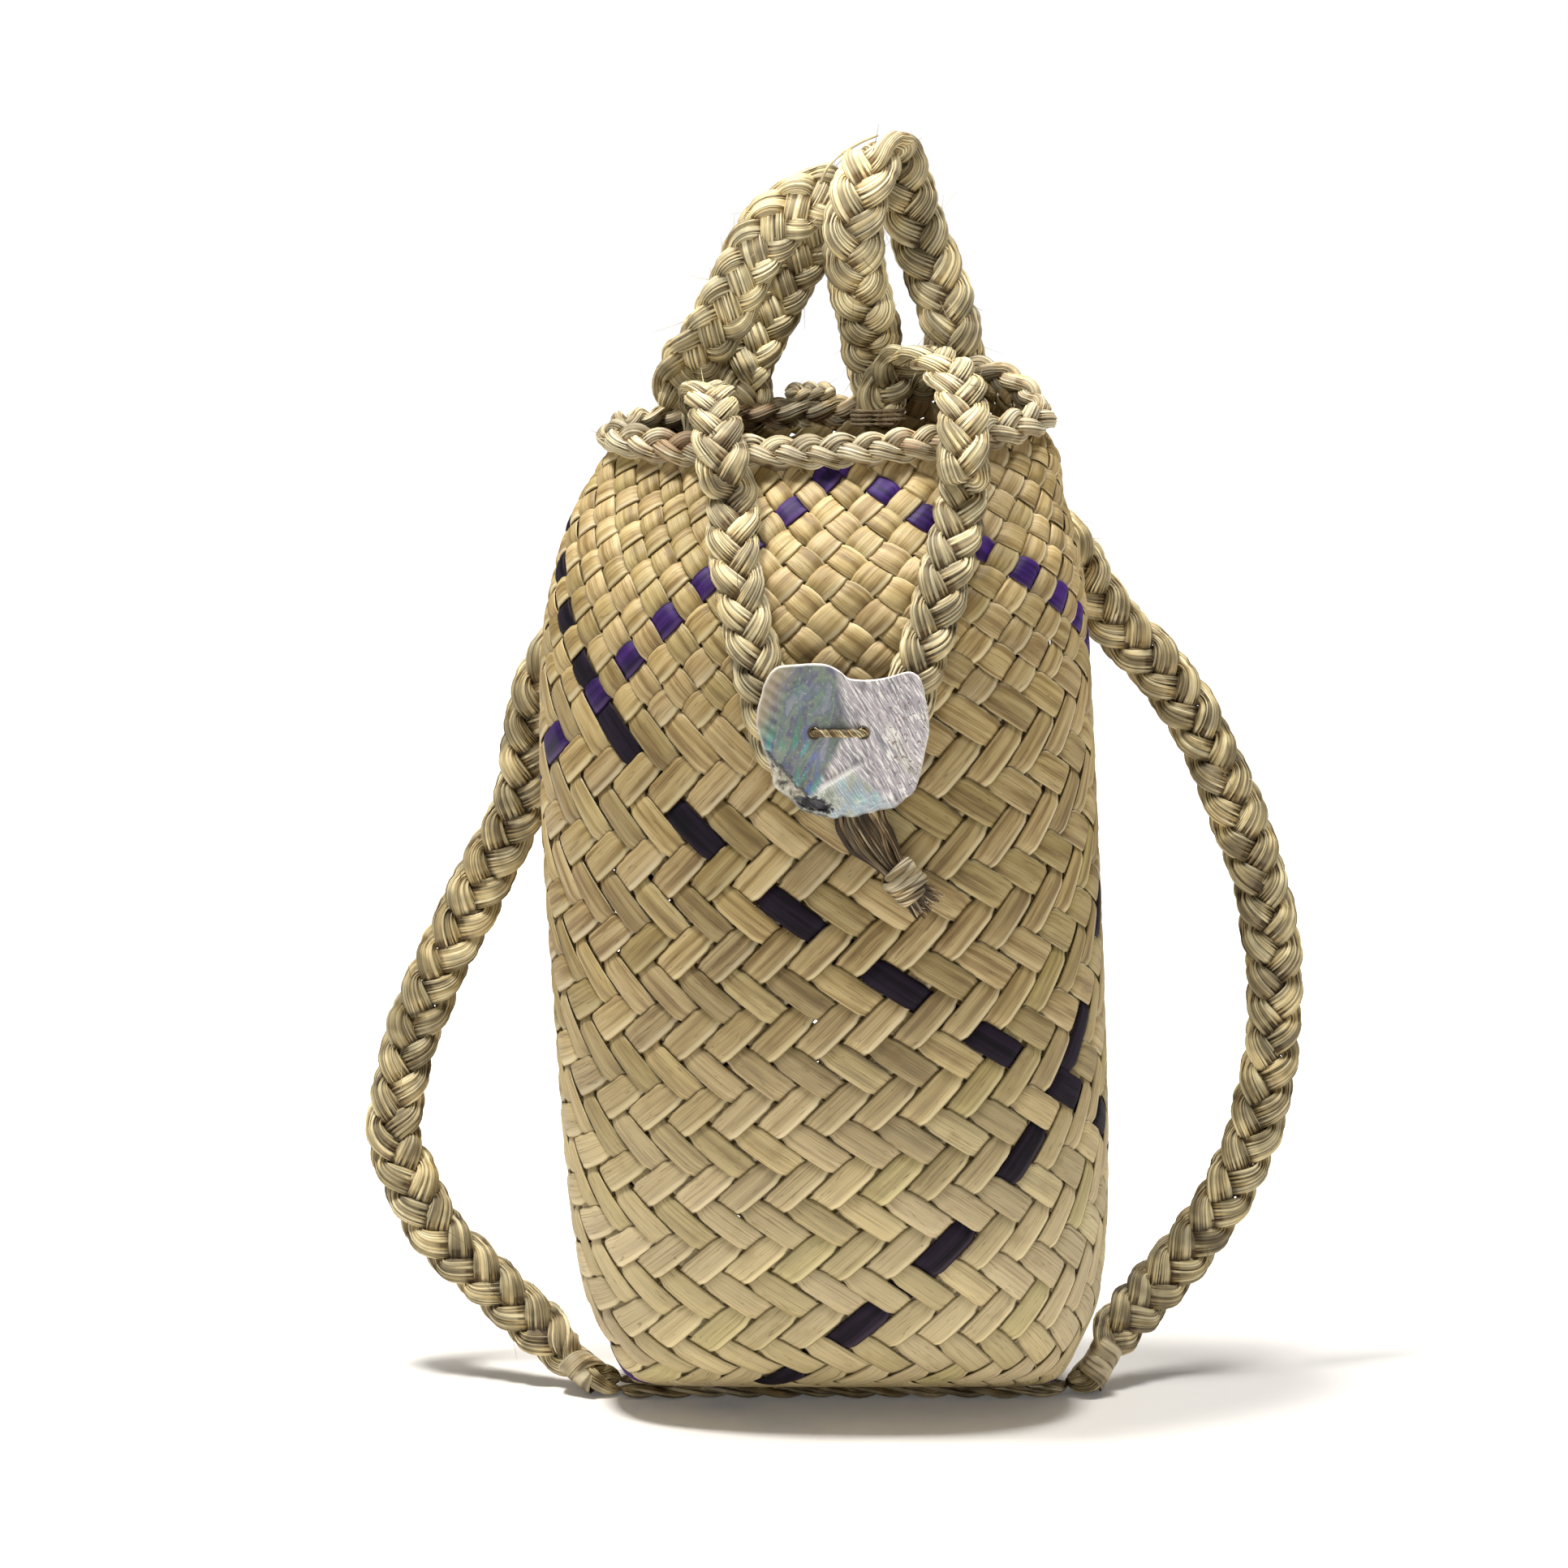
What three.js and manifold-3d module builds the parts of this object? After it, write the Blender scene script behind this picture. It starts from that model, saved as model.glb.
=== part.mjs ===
// Woven flax backpack: a bias-woven bag that stands on its base seam, with a plaited rim,
// two carry handles, two shoulder straps and a plaited loop that hooks round a shell button.
//
// Millimetres. +Z is up, -Y is the front (the side with the button), +X is to the viewer's right.
// The origin is the middle of the flat underside of the base plait.
import * as THREE from 'three';
import { mergeVertices } from 'three/addons/utils/BufferGeometryUtils.js';
import Module from 'manifold-3d';

const wasm = await Module();
wasm.setup();

// Driving sizes of the bag
const BODY_WIDTH = 219;
const BODY_DEPTH = 158;
const BASE_WIDTH = 178;
const BASE_DEPTH = 118;
const MOUTH_WIDTH = 170;
const MOUTH_DEPTH = 70;
const RIM_HEIGHT = 380;
const SHOULDER_DROP = 54;
const BASE_EDGE_RISE = 20;
const WALL = 2.6;
const CLEARANCE = 0.35;

// The mouth isn't level: its right end and its back stand higher than its left end and its front,
// and it peaks at the back on the right, where a handle pulls it up.
const RIM_TILT_RIGHT = 3.5;
const RIM_TILT_BACK = 5;
const RIM_TILT_SADDLE = 1.8;
const RIM_PEAK = 14;
const RIM_TILT_REACH = 140;

// How far the body's middle leans to the left at its belly and at its mouth
const LEAN_BELLY = -11.5;
const LEAN_MOUTH = -7;

// Plaits: width across the flat, and thickness
const RIM_PLAIT = { width: 11.5, thickness: 10.5 };
const BASE_PLAIT = { width: 25, thickness: 5.2, overlap: 1.5 };
const HANDLE = { width: 23, thickness: 10 };
const STRAP = { width: 21.5, thickness: 9.5 };
const CLOSURE = { width: 18.5, thickness: 7.6 };

// Shell button, its drilled holes and its twine
const SHELL_THICKNESS = 2.4;
const SHELL_CUP = 2.2;
const HOLE_SPACING = 18.6;
const HOLE_DIAMETER = 4.2;
const TWINE = 2.6;
const BUTTON_X = -3;
const BUTTON_DROP = 102;
const BUTTON_Z = RIM_HEIGHT - BUTTON_DROP;

// How far the handles stand above the rim
const HANDLE_RISE = 123;

// Facets
const BODY_SEGMENTS = 44;
const PLAIT_SIDES = 10;
const PLAIT_STEP = 9;

const MATERIALS = {
  flax: new THREE.MeshStandardMaterial({ color: 0xcbb483, roughness: 0.62, metalness: 0 }),
  plaitedFlax: new THREE.MeshStandardMaterial({ color: 0xbfa877, roughness: 0.7, metalness: 0 }),
  brownFlax: new THREE.MeshStandardMaterial({ color: 0xa8854f, roughness: 0.72, metalness: 0 }),
  shell: new THREE.MeshStandardMaterial({ color: 0xa9b6b4, roughness: 0.22, metalness: 0.15 }),
  twine: new THREE.MeshStandardMaterial({ color: 0xc9a878, roughness: 0.85, metalness: 0 }),
};

const part = new THREE.Group();

const vec = (x, y, z) => new THREE.Vector3(x, y, z);
const mix = (a, b, t) => a + (b - a) * t;

function smoothStep(low, high, value) {
  const t = Math.min(1, Math.max(0, (value - low) / (high - low)));
  return t * t * (3 - 2 * t);
}

// Adds a closed triangle mesh to the part, with its faces turned outwards.
function addSolid(name, points, triangles, material) {
  let volume = 0;
  for (const [a, b, c] of triangles) {
    volume += points[a].dot(points[b].clone().cross(points[c]));
  }
  const ordered = volume < 0 ? triangles.map(([a, b, c]) => [a, c, b]) : triangles;
  const geometry = new THREE.BufferGeometry();
  const positions = points.flatMap((p) => [p.x, p.y, p.z]);
  geometry.setAttribute('position', new THREE.Float32BufferAttribute(positions, 3));
  geometry.setIndex(ordered.flat());
  geometry.computeVertexNormals();
  const mesh = new THREE.Mesh(geometry, material);
  mesh.name = name;
  part.add(mesh);
  return mesh;
}

// Joins equal rings of points into a tube. An open tube gets a fan over each end.
function loft(rings, { closed = false } = {}) {
  const sides = rings[0].length;
  const points = rings.flat();
  const triangles = [];
  const last = closed ? rings.length : rings.length - 1;
  for (let i = 0; i < last; i += 1) {
    const here = i * sides;
    const next = ((i + 1) % rings.length) * sides;
    for (let j = 0; j < sides; j += 1) {
      const k = (j + 1) % sides;
      triangles.push([here + j, here + k, next + k], [here + j, next + k, next + j]);
    }
  }
  if (!closed) {
    for (const [ring, flip] of [[0, true], [rings.length - 1, false]]) {
      const middle = rings[ring].reduce((sum, p) => sum.add(p), vec(0, 0, 0)).divideScalar(sides);
      const centre = points.push(middle) - 1;
      for (let j = 0; j < sides; j += 1) {
        const a = ring * sides + j;
        const b = ring * sides + ((j + 1) % sides);
        triangles.push(flip ? [centre, b, a] : [centre, a, b]);
      }
    }
  }
  return { points, triangles };
}

// The body: sections stacked from the seam to the mouth

// Each section is a rounded rectangle: half width, half depth, squareness and sideways lean.
const SEAM_Z = BASE_PLAIT.thickness + CLEARANCE;
const SHOULDER_Z = RIM_HEIGHT - SHOULDER_DROP;
const BELLY_Z = mix(BASE_EDGE_RISE, SHOULDER_Z, 0.72);
const LOWER_Z = mix(BASE_EDGE_RISE, SHOULDER_Z, 0.45);
// Half the width and half the depth, at a share of the way from the base to the belly
const halfWidth = (share) => mix(BASE_WIDTH, BODY_WIDTH, share) / 2;
const halfDepth = (share) => mix(BASE_DEPTH, BODY_DEPTH, share) / 2;
const SECTIONS = [
  { z: SEAM_Z, w: halfWidth(0) - 5, d: BASE_PLAIT.width / 2, n: 5, x: 0 },
  { z: BASE_EDGE_RISE * 0.72, w: halfWidth(0) - 1, d: halfDepth(0) - 14, n: 4.6, x: 0 },
  { z: BASE_EDGE_RISE + 5, w: halfWidth(0.2), d: halfDepth(0), n: 4, x: 0 },
  { z: BASE_EDGE_RISE + 24, w: halfWidth(0.64), d: halfDepth(0.4), n: 3.1, x: LEAN_BELLY * 0.05 },
  { z: BASE_EDGE_RISE + 66, w: halfWidth(0.89), d: halfDepth(0.76), n: 2.6, x: LEAN_BELLY * 0.2 },
  { z: LOWER_Z, w: halfWidth(0.98), d: halfDepth(0.93), n: 2.35, x: LEAN_BELLY * 0.5 },
  { z: BELLY_Z, w: halfWidth(1), d: halfDepth(1), n: 2.25, x: LEAN_BELLY * 0.87 },
  { z: SHOULDER_Z - 22, w: halfWidth(0.89), d: halfDepth(0.85), n: 2.2, x: LEAN_BELLY },
  { z: SHOULDER_Z + 10, w: halfWidth(0.66), d: halfDepth(0.45), n: 2.2, x: LEAN_BELLY * 0.91 },
  { z: RIM_HEIGHT - 24, w: MOUTH_WIDTH / 2 + 11, d: MOUTH_DEPTH / 2 + 20, n: 2.1, x: LEAN_MOUTH * 1.46 },
  { z: RIM_HEIGHT - 9, w: MOUTH_WIDTH / 2 + 6, d: MOUTH_DEPTH / 2 + 8, n: 2, x: LEAN_MOUTH },
  { z: RIM_HEIGHT, w: MOUTH_WIDTH / 2, d: MOUTH_DEPTH / 2, n: 2, x: LEAN_MOUTH },
];

// The section at a height, on a smooth curve through the stacked sections.
function sectionAt(z) {
  const top = SECTIONS.length - 1;
  let k = 0;
  while (k < top - 1 && z > SECTIONS[k + 1].z) k += 1;
  const low = SECTIONS[k];
  const high = SECTIONS[k + 1];
  const t = Math.min(1, Math.max(0, (z - low.z) / (high.z - low.z)));
  const slope = (key, i) => {
    const a = SECTIONS[Math.max(0, i - 1)];
    const b = SECTIONS[Math.min(top, i + 1)];
    return (b[key] - a[key]) / (b.z - a.z);
  };
  const value = (key) => {
    const span = high.z - low.z;
    const t2 = t * t;
    const t3 = t2 * t;
    return (2 * t3 - 3 * t2 + 1) * low[key] + (t3 - 2 * t2 + t) * span * slope(key, k)
      + (3 * t2 - 2 * t3) * high[key] + (t3 - t2) * span * slope(key, k + 1);
  };
  return { z, w: value('w'), d: value('d'), n: value('n'), x: value('x') };
}

// How much the mouth's tilt lifts a point that lies at (across, back) in its section, both -1 to 1.
function tiltLift(z, across, back) {
  const share = smoothStep(RIM_HEIGHT - RIM_TILT_REACH, RIM_HEIGHT, z);
  const tilt = RIM_TILT_RIGHT * across + RIM_TILT_BACK * back;
  const saddle = RIM_TILT_SADDLE * (across ** 2 - back ** 2);
  const peak = RIM_PEAK * (2 * Math.max(0, across) * Math.max(0, back)) ** 2;
  return share * (tilt + saddle + peak);
}

// A section's ring of points at equal steps round its edge, starting at the right-hand side.
function sectionRing(section, count, grow = 0) {
  const FINE = 720;
  const power = 2 / section.n;
  const edge = [];
  for (let i = 0; i <= FINE; i += 1) {
    const angle = (i / FINE) * Math.PI * 2;
    const c = Math.cos(angle);
    const s = Math.sin(angle);
    const across = Math.sign(c) * Math.abs(c) ** power;
    const back = Math.sign(s) * Math.abs(s) ** power;
    const p = vec(section.x + across * (section.w + grow), back * (section.d + grow), section.z);
    p.z += tiltLift(section.z, across, back);
    edge.push(p);
  }
  const run = [0];
  for (let i = 1; i <= FINE; i += 1) run.push(run[i - 1] + edge[i].distanceTo(edge[i - 1]));
  const ring = [];
  let k = 0;
  for (let i = 0; i < count; i += 1) {
    const target = (i / count) * run[FINE];
    while (run[k + 1] < target) k += 1;
    const t = (target - run[k]) / (run[k + 1] - run[k]);
    ring.push(edge[k].clone().lerp(edge[k + 1], t));
  }
  return ring;
}

// The y of the body's front (side -1) or back (side +1) at a place, a given way off its surface.
function bodyY(x, z, off = 0, side = -1) {
  let flat = z;
  let across = 0;
  let section = sectionAt(flat);
  for (let i = 0; i < 12; i += 1) {
    across = Math.min(0.999, Math.abs((x - section.x) / (section.w + off)));
    const back = side * (1 - across ** section.n) ** (1 / section.n);
    flat = Math.min(RIM_HEIGHT, z - tiltLift(flat, Math.sign(x - section.x) * across, back));
    section = sectionAt(flat);
  }
  return side * (section.d + off) * (1 - across ** section.n) ** (1 / section.n);
}

// The outward normal of the body's front (side -1) or back (side +1).
function bodyNormal(x, z, side = -1) {
  const STEP = 1.5;
  const alongX = vec(2 * STEP, bodyY(x + STEP, z, 0, side) - bodyY(x - STEP, z, 0, side), 0);
  const alongZ = vec(0, bodyY(x, z + STEP, 0, side) - bodyY(x, z - STEP, 0, side), 2 * STEP);
  const normal = alongX.cross(alongZ).normalize();
  return normal.y * side > 0 ? normal : normal.negate();
}

// A point a given way off the body's front or back.
function offBody(x, z, off, side = -1) {
  return vec(x, bodyY(x, z, 0, side), z).addScaledVector(bodyNormal(x, z, side), off);
}

// The woven body: an outer and an inner skin from the seam to the mouth, joined round the rim.
function addWovenBody() {
  const BOTTOM_STEPS = [0, 0.3, 0.6, 1, 1.35, 1.8, 2.5];
  const SIDE_STEPS = [0.2, 0.32, 0.45, 0.6, 0.72, 0.86, 1];
  const SHOULDER_STEPS = [0.3, 0.54, 0.72, 0.84, 0.92, 1];
  const heights = [
    ...BOTTOM_STEPS.map((share) => SEAM_Z + (BASE_EDGE_RISE - SEAM_Z) * share),
    ...SIDE_STEPS.map((share) => mix(BASE_EDGE_RISE, SHOULDER_Z, share)),
    ...SHOULDER_STEPS.map((share) => mix(SHOULDER_Z, RIM_HEIGHT, share)),
  ];

  const outerRings = heights.map((z) => sectionRing(sectionAt(z), BODY_SEGMENTS));
  const outer = outerRings.flat();
  const rings = outerRings.length;
  const triangles = [];
  for (let i = 0; i < rings - 1; i += 1) {
    for (let j = 0; j < BODY_SEGMENTS; j += 1) {
      const a = i * BODY_SEGMENTS + j;
      const b = i * BODY_SEGMENTS + ((j + 1) % BODY_SEGMENTS);
      triangles.push([a, b, b + BODY_SEGMENTS], [a, b + BODY_SEGMENTS, a + BODY_SEGMENTS]);
    }
  }
  const bottom = outer.push(vec(SECTIONS[0].x, 0, SEAM_Z)) - 1;
  for (let j = 0; j < BODY_SEGMENTS; j += 1) {
    triangles.push([bottom, (j + 1) % BODY_SEGMENTS, j]);
  }

  // The inner skin is the outer one moved in by the wall along each point's own normal.
  const normals = outer.map(() => vec(0, 0, 0));
  for (const [a, b, c] of triangles) {
    const n = outer[b].clone().sub(outer[a]).cross(outer[c].clone().sub(outer[a]));
    for (const k of [a, b, c]) normals[k].add(n);
  }
  const rimStart = (rings - 1) * BODY_SEGMENTS;
  const inner = outer.map((p, k) => {
    const n = normals[k].normalize();
    if (k >= rimStart && k !== bottom) n.setZ(0).normalize();
    return p.clone().addScaledVector(n, -WALL);
  });
  const shift = outer.length;
  const all = [...outer, ...inner];
  const faces = [...triangles, ...triangles.map(([a, b, c]) => [a + shift, c + shift, b + shift])];
  for (let j = 0; j < BODY_SEGMENTS; j += 1) {
    const a = rimStart + j;
    const b = rimStart + ((j + 1) % BODY_SEGMENTS);
    faces.push([a, b, b + shift], [a, b + shift, a + shift]);
  }
  addSolid('woven_body', all, faces, MATERIALS.flax);
}

// Plaits: a flat-oval section swept along a smooth path

// Rounded section of a plait, as pairs (across, through).
function plaitSection(width, thickness, sides = PLAIT_SIDES) {
  const SQUARENESS = 2.6;
  const pairs = [];
  for (let i = 0; i < sides; i += 1) {
    const angle = ((i + 0.5) / sides) * Math.PI * 2;
    const c = Math.cos(angle);
    const s = Math.sin(angle);
    const across = Math.sign(c) * Math.abs(c) ** (2 / SQUARENESS) * (width / 2);
    const through = Math.sign(s) * Math.abs(s) ** (2 / SQUARENESS) * (thickness / 2);
    pairs.push([across, through]);
  }
  return pairs;
}

// Frames along a path. facing(share) is the way that the plait's flat side looks,
// or across(share, point) the way that its width lies.
function pathFrames(points, { closed = false, step = PLAIT_STEP, facing = null, across = null } = {}) {
  const curve = new THREE.CatmullRomCurve3(points, closed, 'centripetal');
  const count = Math.max(4, Math.round(curve.getLength() / step));
  const frames = [];
  for (let i = 0; i < (closed ? count : count + 1); i += 1) {
    const share = i / count;
    const p = curve.getPointAt(share);
    const t = curve.getTangentAt(share);
    let wide;
    let flat;
    if (facing) {
      flat = facing(share, p).clone();
      flat.addScaledVector(t, -flat.dot(t)).normalize();
      wide = t.clone().cross(flat).normalize();
    } else {
      wide = across(share, p).clone();
      wide.addScaledVector(t, -wide.dot(t)).normalize();
      flat = wide.clone().cross(t).normalize();
    }
    frames.push({ p, t, wide, flat });
  }
  return frames;
}

const ringFrom = (frame, pairs, scale = 1) => pairs.map(([a, b]) => frame.p.clone()
  .addScaledVector(frame.wide, a * scale).addScaledVector(frame.flat, b * scale));

// A plait with rounded ends, or a closed ring of plait.
// narrow(share) is how much of the full width the plait has along its way.
function addPlait(name, points, size, options, material = MATERIALS.plaitedFlax) {
  const { closed = false, narrow = () => 1 } = options;
  const frames = pathFrames(points, options);
  const last = frames.length - 1;
  const pairsAt = (i) => plaitSection(size.width * narrow(i / last), size.thickness);
  const rings = frames.map((f, i) => ringFrom(f, pairsAt(i)));
  if (closed) {
    const { points: all, triangles } = loft(rings, { closed: true });
    return addSolid(name, all, triangles, material);
  }
  const reach = size.thickness / 2;
  const cap = (i, way) => [[0.5, 0.94], [0.86, 0.52]].map(([scale, along]) => {
    const frame = frames[i];
    const moved = { ...frame, p: frame.p.clone().addScaledVector(frame.t, way * reach * along) };
    return ringFrom(moved, pairsAt(i), scale);
  });
  const { points: all, triangles } = loft([...cap(0, -1), ...rings, ...cap(last, 1).reverse()]);
  return addSolid(name, all, triangles, material);
}

// A band of wound strip or twine: ridges swept once round a flat-oval core.
function addBand(name, frame, core, { turns, thickness, pitch, slack = 0 }, material) {
  const AROUND = 20;
  const gap = CLEARANCE + slack;
  const rings = [];
  for (let i = 0; i < AROUND; i += 1) {
    const angle = (i / AROUND) * Math.PI * 2;
    const c = Math.cos(angle);
    const s = Math.sin(angle);
    const out = (extra) => {
      const a = Math.sign(c) * Math.abs(c) ** 0.77 * (core.width / 2 + gap + extra);
      const b = Math.sign(s) * Math.abs(s) ** 0.77 * (core.thickness / 2 + gap + extra);
      return frame.p.clone().addScaledVector(frame.wide, a).addScaledVector(frame.flat, b);
    };
    const half = (turns * pitch) / 2;
    const ring = [out(0).addScaledVector(frame.t, half), out(0).addScaledVector(frame.t, -half)];
    for (let k = 0; k < turns; k += 1) {
      const start = k * pitch - half;
      ring.push(out(thickness * 0.7).addScaledVector(frame.t, start + pitch * 0.08));
      ring.push(out(thickness).addScaledVector(frame.t, start + pitch * 0.5));
      ring.push(out(thickness * 0.7).addScaledVector(frame.t, start + pitch * 0.92));
    }
    rings.push(ring);
  }
  const { points, triangles } = loft(rings, { closed: true });
  return addSolid(name, points, triangles, material);
}

// Rim plait, laid round the top edge of the body
const RIM_SECTION = sectionAt(RIM_HEIGHT);
const RIM_PLAIT_RISE = 4.2 * CLEARANCE + RIM_PLAIT.thickness / 2;

// A point on the rim plait's middle line. Turn 0 is the right-hand end, a quarter turn is the back.
function rimPoint(turn, up = 0) {
  const c = Math.cos(turn * Math.PI * 2);
  const s = Math.sin(turn * Math.PI * 2);
  const x = RIM_SECTION.x + c * (RIM_SECTION.w - WALL / 2);
  const y = s * (RIM_SECTION.d - WALL / 2);
  return vec(x, y, RIM_HEIGHT + tiltLift(RIM_HEIGHT, c, s) + RIM_PLAIT_RISE + up);
}

// At a turn: the way that the rim runs, the level way from it into the mouth, and the way off its top.
function rimWays(turn) {
  const STEP = 0.01;
  const along = rimPoint(turn - STEP).sub(rimPoint(turn + STEP)).normalize();
  const inward = vec(along.y, -along.x, 0).normalize();
  const off = inward.clone().cross(along);
  return { along, inward, off: off.z < 0 ? off.negate() : off };
}

// A place over the mouth: shares of its half width and half depth, and a height above the rim.
const overMouth = (x, y, up) => vec(LEAN_MOUTH + x * MOUTH_WIDTH / 2, y * MOUTH_DEPTH / 2, RIM_HEIGHT + up);

function addRimPlait() {
  const RIM_POINTS = 44;
  const points = [];
  for (let i = 0; i < RIM_POINTS; i += 1) points.push(rimPoint(i / RIM_POINTS));
  const facing = () => vec(0, 0, 1);
  addPlait('rim_plait', points, RIM_PLAIT, { closed: true, facing, step: 8 }, MATERIALS.brownFlax);
}

// The spare end of the rim plait lies over the back of the rim.
function addRimTail() {
  const size = { width: 8.5, thickness: 5.5 };
  const up = (RIM_PLAIT.thickness + size.thickness) / 2 + 1.7 * CLEARANCE;
  const points = [0.244, 0.256, 0.268, 0.28].map((turn) => rimPoint(turn, up));
  addPlait('rim_plait_tail', points, size, { facing: () => vec(0, 0, 1), step: 6 }, MATERIALS.brownFlax);
}

// Base plait: the seam under the body, flat where the bag stands
const BASE_HALF = BASE_WIDTH / 2 - BASE_PLAIT.overlap;

function addBasePlait() {
  const w = BASE_PLAIT.width / 2;
  const t = BASE_PLAIT.thickness;
  const section = [[-w + 2.2, 0], [w - 2.2, 0], [w, t * 0.36], [w - 1.4, t * 0.76], [w * 0.45, t],
    [-w * 0.45, t], [-w + 1.4, t * 0.76], [-w, t * 0.36]];
  const END = 2.4;
  const stations = [
    [-BASE_HALF, 0.72], [-BASE_HALF + END, 1], [0, 1], [BASE_HALF - END, 1], [BASE_HALF, 0.72],
  ];
  const rings = stations.map(([x, scale]) => section.map(([y, z]) => vec(x, y * scale, z)));
  const { points, triangles } = loft(rings);
  addSolid('base_plait', points, triangles, MATERIALS.flax);
}

// Carry handles: each is one plait folded into a tall loop, both feet on the back of the rim
const FOOT_RISE = (RIM_PLAIT.thickness + HANDLE.thickness) / 2 + 2 * CLEARANCE;
const LEFT_HANDLE_TURNS = [0.366, 0.314];
const RIGHT_HANDLE_TURNS = [0.203, 0.142];

// Near its feet a handle's width follows the rim, and higher up it lies level.
// At its top the plait is creased along the fold.
function handleAcross(turns, fold) {
  const FOOT_SHARE = 0.16;
  const ways = turns.map((turn) => rimWays(turn).along);
  return (share) => {
    const nearFirst = 1 - smoothStep(0, FOOT_SHARE, share);
    const nearLast = smoothStep(1 - FOOT_SHARE, 1, share);
    const nearFold = 1 - smoothStep(0.05, 0.2, Math.abs(share - fold.share));
    const level = vec(1, 0, 0).multiplyScalar(Math.max(0, 1 - nearFirst - nearLast - nearFold));
    return level.addScaledVector(ways[0], nearFirst).addScaledVector(ways[1], nearLast)
      .addScaledVector(fold.across, nearFold);
  };
}

function handlePath(turns, between) {
  const STRAIGHT = 7;
  const foot = (turn, off) => rimPoint(turn).addScaledVector(rimWays(turn).off, off);
  const feet = turns.map((turn) => foot(turn, FOOT_RISE));
  const raised = turns.map((turn) => foot(turn, FOOT_RISE + STRAIGHT));
  const loop = between.map(([x, y, share]) => overMouth(x, y, share * HANDLE_RISE));
  return [feet[0], raised[0], ...loop, raised[1], feet[1]];
}

function addHandles() {
  const left = handlePath(LEFT_HANDLE_TURNS, [
    [-0.506, 0.429, 0.374], [-0.412, 0.371, 0.5], [-0.318, 0.4, 0.626], [-0.188, 0.429, 0.724],
    [-0.059, 0.514, 0.776], [0.071, 0.771, 0.789], [0.047, 1.029, 0.732], [-0.059, 1.114, 0.65],
    [-0.176, 1.086, 0.52], [-0.259, 1.057, 0.407],
  ]);
  const leftFold = { share: 0.52, across: vec(0.4, 0, -0.92) };
  addPlait('left_handle', left, HANDLE, { across: handleAcross(LEFT_HANDLE_TURNS, leftFold), step: 8 });
  const right = handlePath(RIGHT_HANDLE_TURNS, [
    [0.2, 0.629, 0.366], [0.159, 0.371, 0.472], [0.129, 0.171, 0.585], [0.127, 0.086, 0.715],
    [0.171, 0.114, 0.829], [0.224, 0.257, 0.915], [0.282, 0.514, 0.927], [0.341, 0.743, 0.862],
    [0.4, 0.886, 0.724], [0.482, 0.914, 0.561], [0.553, 0.857, 0.431],
  ]);
  const rightFold = { share: 0.47, across: vec(0.87, 0, 0.5) };
  addPlait('right_handle', right, HANDLE, { across: handleAcross(RIGHT_HANDLE_TURNS, rightFold), step: 8 });
}

// Shoulder straps: from a tie at the back of the body, out past its side, and down to the seam's end
const STRAP_TIE_DROP = 18;
const STRAP_TIE_X = 30;
const TIE = { turns: 3, thickness: 1.3, pitch: 2.4, slack: 0.15 };
const STRAP_OFF = STRAP.thickness / 2 + TIE.thickness + TIE.slack + 2.5 * CLEARANCE + 0.6;
const STRAP_FOOT_X = BASE_HALF + 1.6 * CLEARANCE + STRAP.thickness / 2;
const STRAP_FOOT_Z = STRAP.thickness / 2 + 0.2;

// A strap lies flat to the bag's back at its top, faces the front beside the bag,
// and turns flat to the floor at its foot.
function strapFacing(side) {
  const UPRIGHT_SHARE = 0.86;
  const BACK_SHARE = 0.2;
  return (share, p) => {
    const turn = smoothStep(UPRIGHT_SHARE, 1, share) * Math.PI / 2;
    const outside = vec(0, Math.cos(turn), Math.sin(turn));
    const reach = BODY_WIDTH / 2 - 12;
    const x = Math.min(reach, Math.max(-reach, p.x - LEAN_BELLY)) + LEAN_BELLY;
    const onBack = bodyNormal(x, Math.min(p.z, RIM_HEIGHT - STRAP_TIE_DROP), 1);
    return onBack.lerp(outside, smoothStep(0, BACK_SHARE, share));
  };
}

// onBack: shares of half the width and of the rim's height, and an extra way off the back.
// beside: how far out past the belly, and shares of half the depth and of the rim's height.
// byFoot: how far out, back and up from the foot.
function strapPath(side, { onBack, beside, byFoot }) {
  const tieZ = RIM_HEIGHT - STRAP_TIE_DROP;
  const foot = vec(side * STRAP_FOOT_X, 0, STRAP_FOOT_Z);
  const top = offBody(side * STRAP_TIE_X + LEAN_MOUTH, tieZ, STRAP_OFF, 1);
  return [
    top,
    ...onBack.map(([x, up, off]) => {
      return offBody((side * x * BODY_WIDTH) / 2, up * RIM_HEIGHT, STRAP_OFF + off, 1);
    }),
    ...beside.map(([out, y, up]) => {
      return vec(side * (BODY_WIDTH / 2 + out), (y * BODY_DEPTH) / 2, up * RIM_HEIGHT);
    }),
    ...byFoot.map(([out, y, up]) => foot.clone().add(vec(side * out, y, up))),
    foot,
  ];
}

// A strap draws in at the ends that it swings on.
function strapNarrow(share) {
  const TOP_SHARE = 0.05;
  const FOOT_SHARE = 0.035;
  const top = mix(0.6, 1, smoothStep(0, TOP_SHARE, share));
  const foot = mix(0.46, 1, smoothStep(0, FOOT_SHARE, 1 - share));
  return Math.min(top, foot);
}

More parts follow.
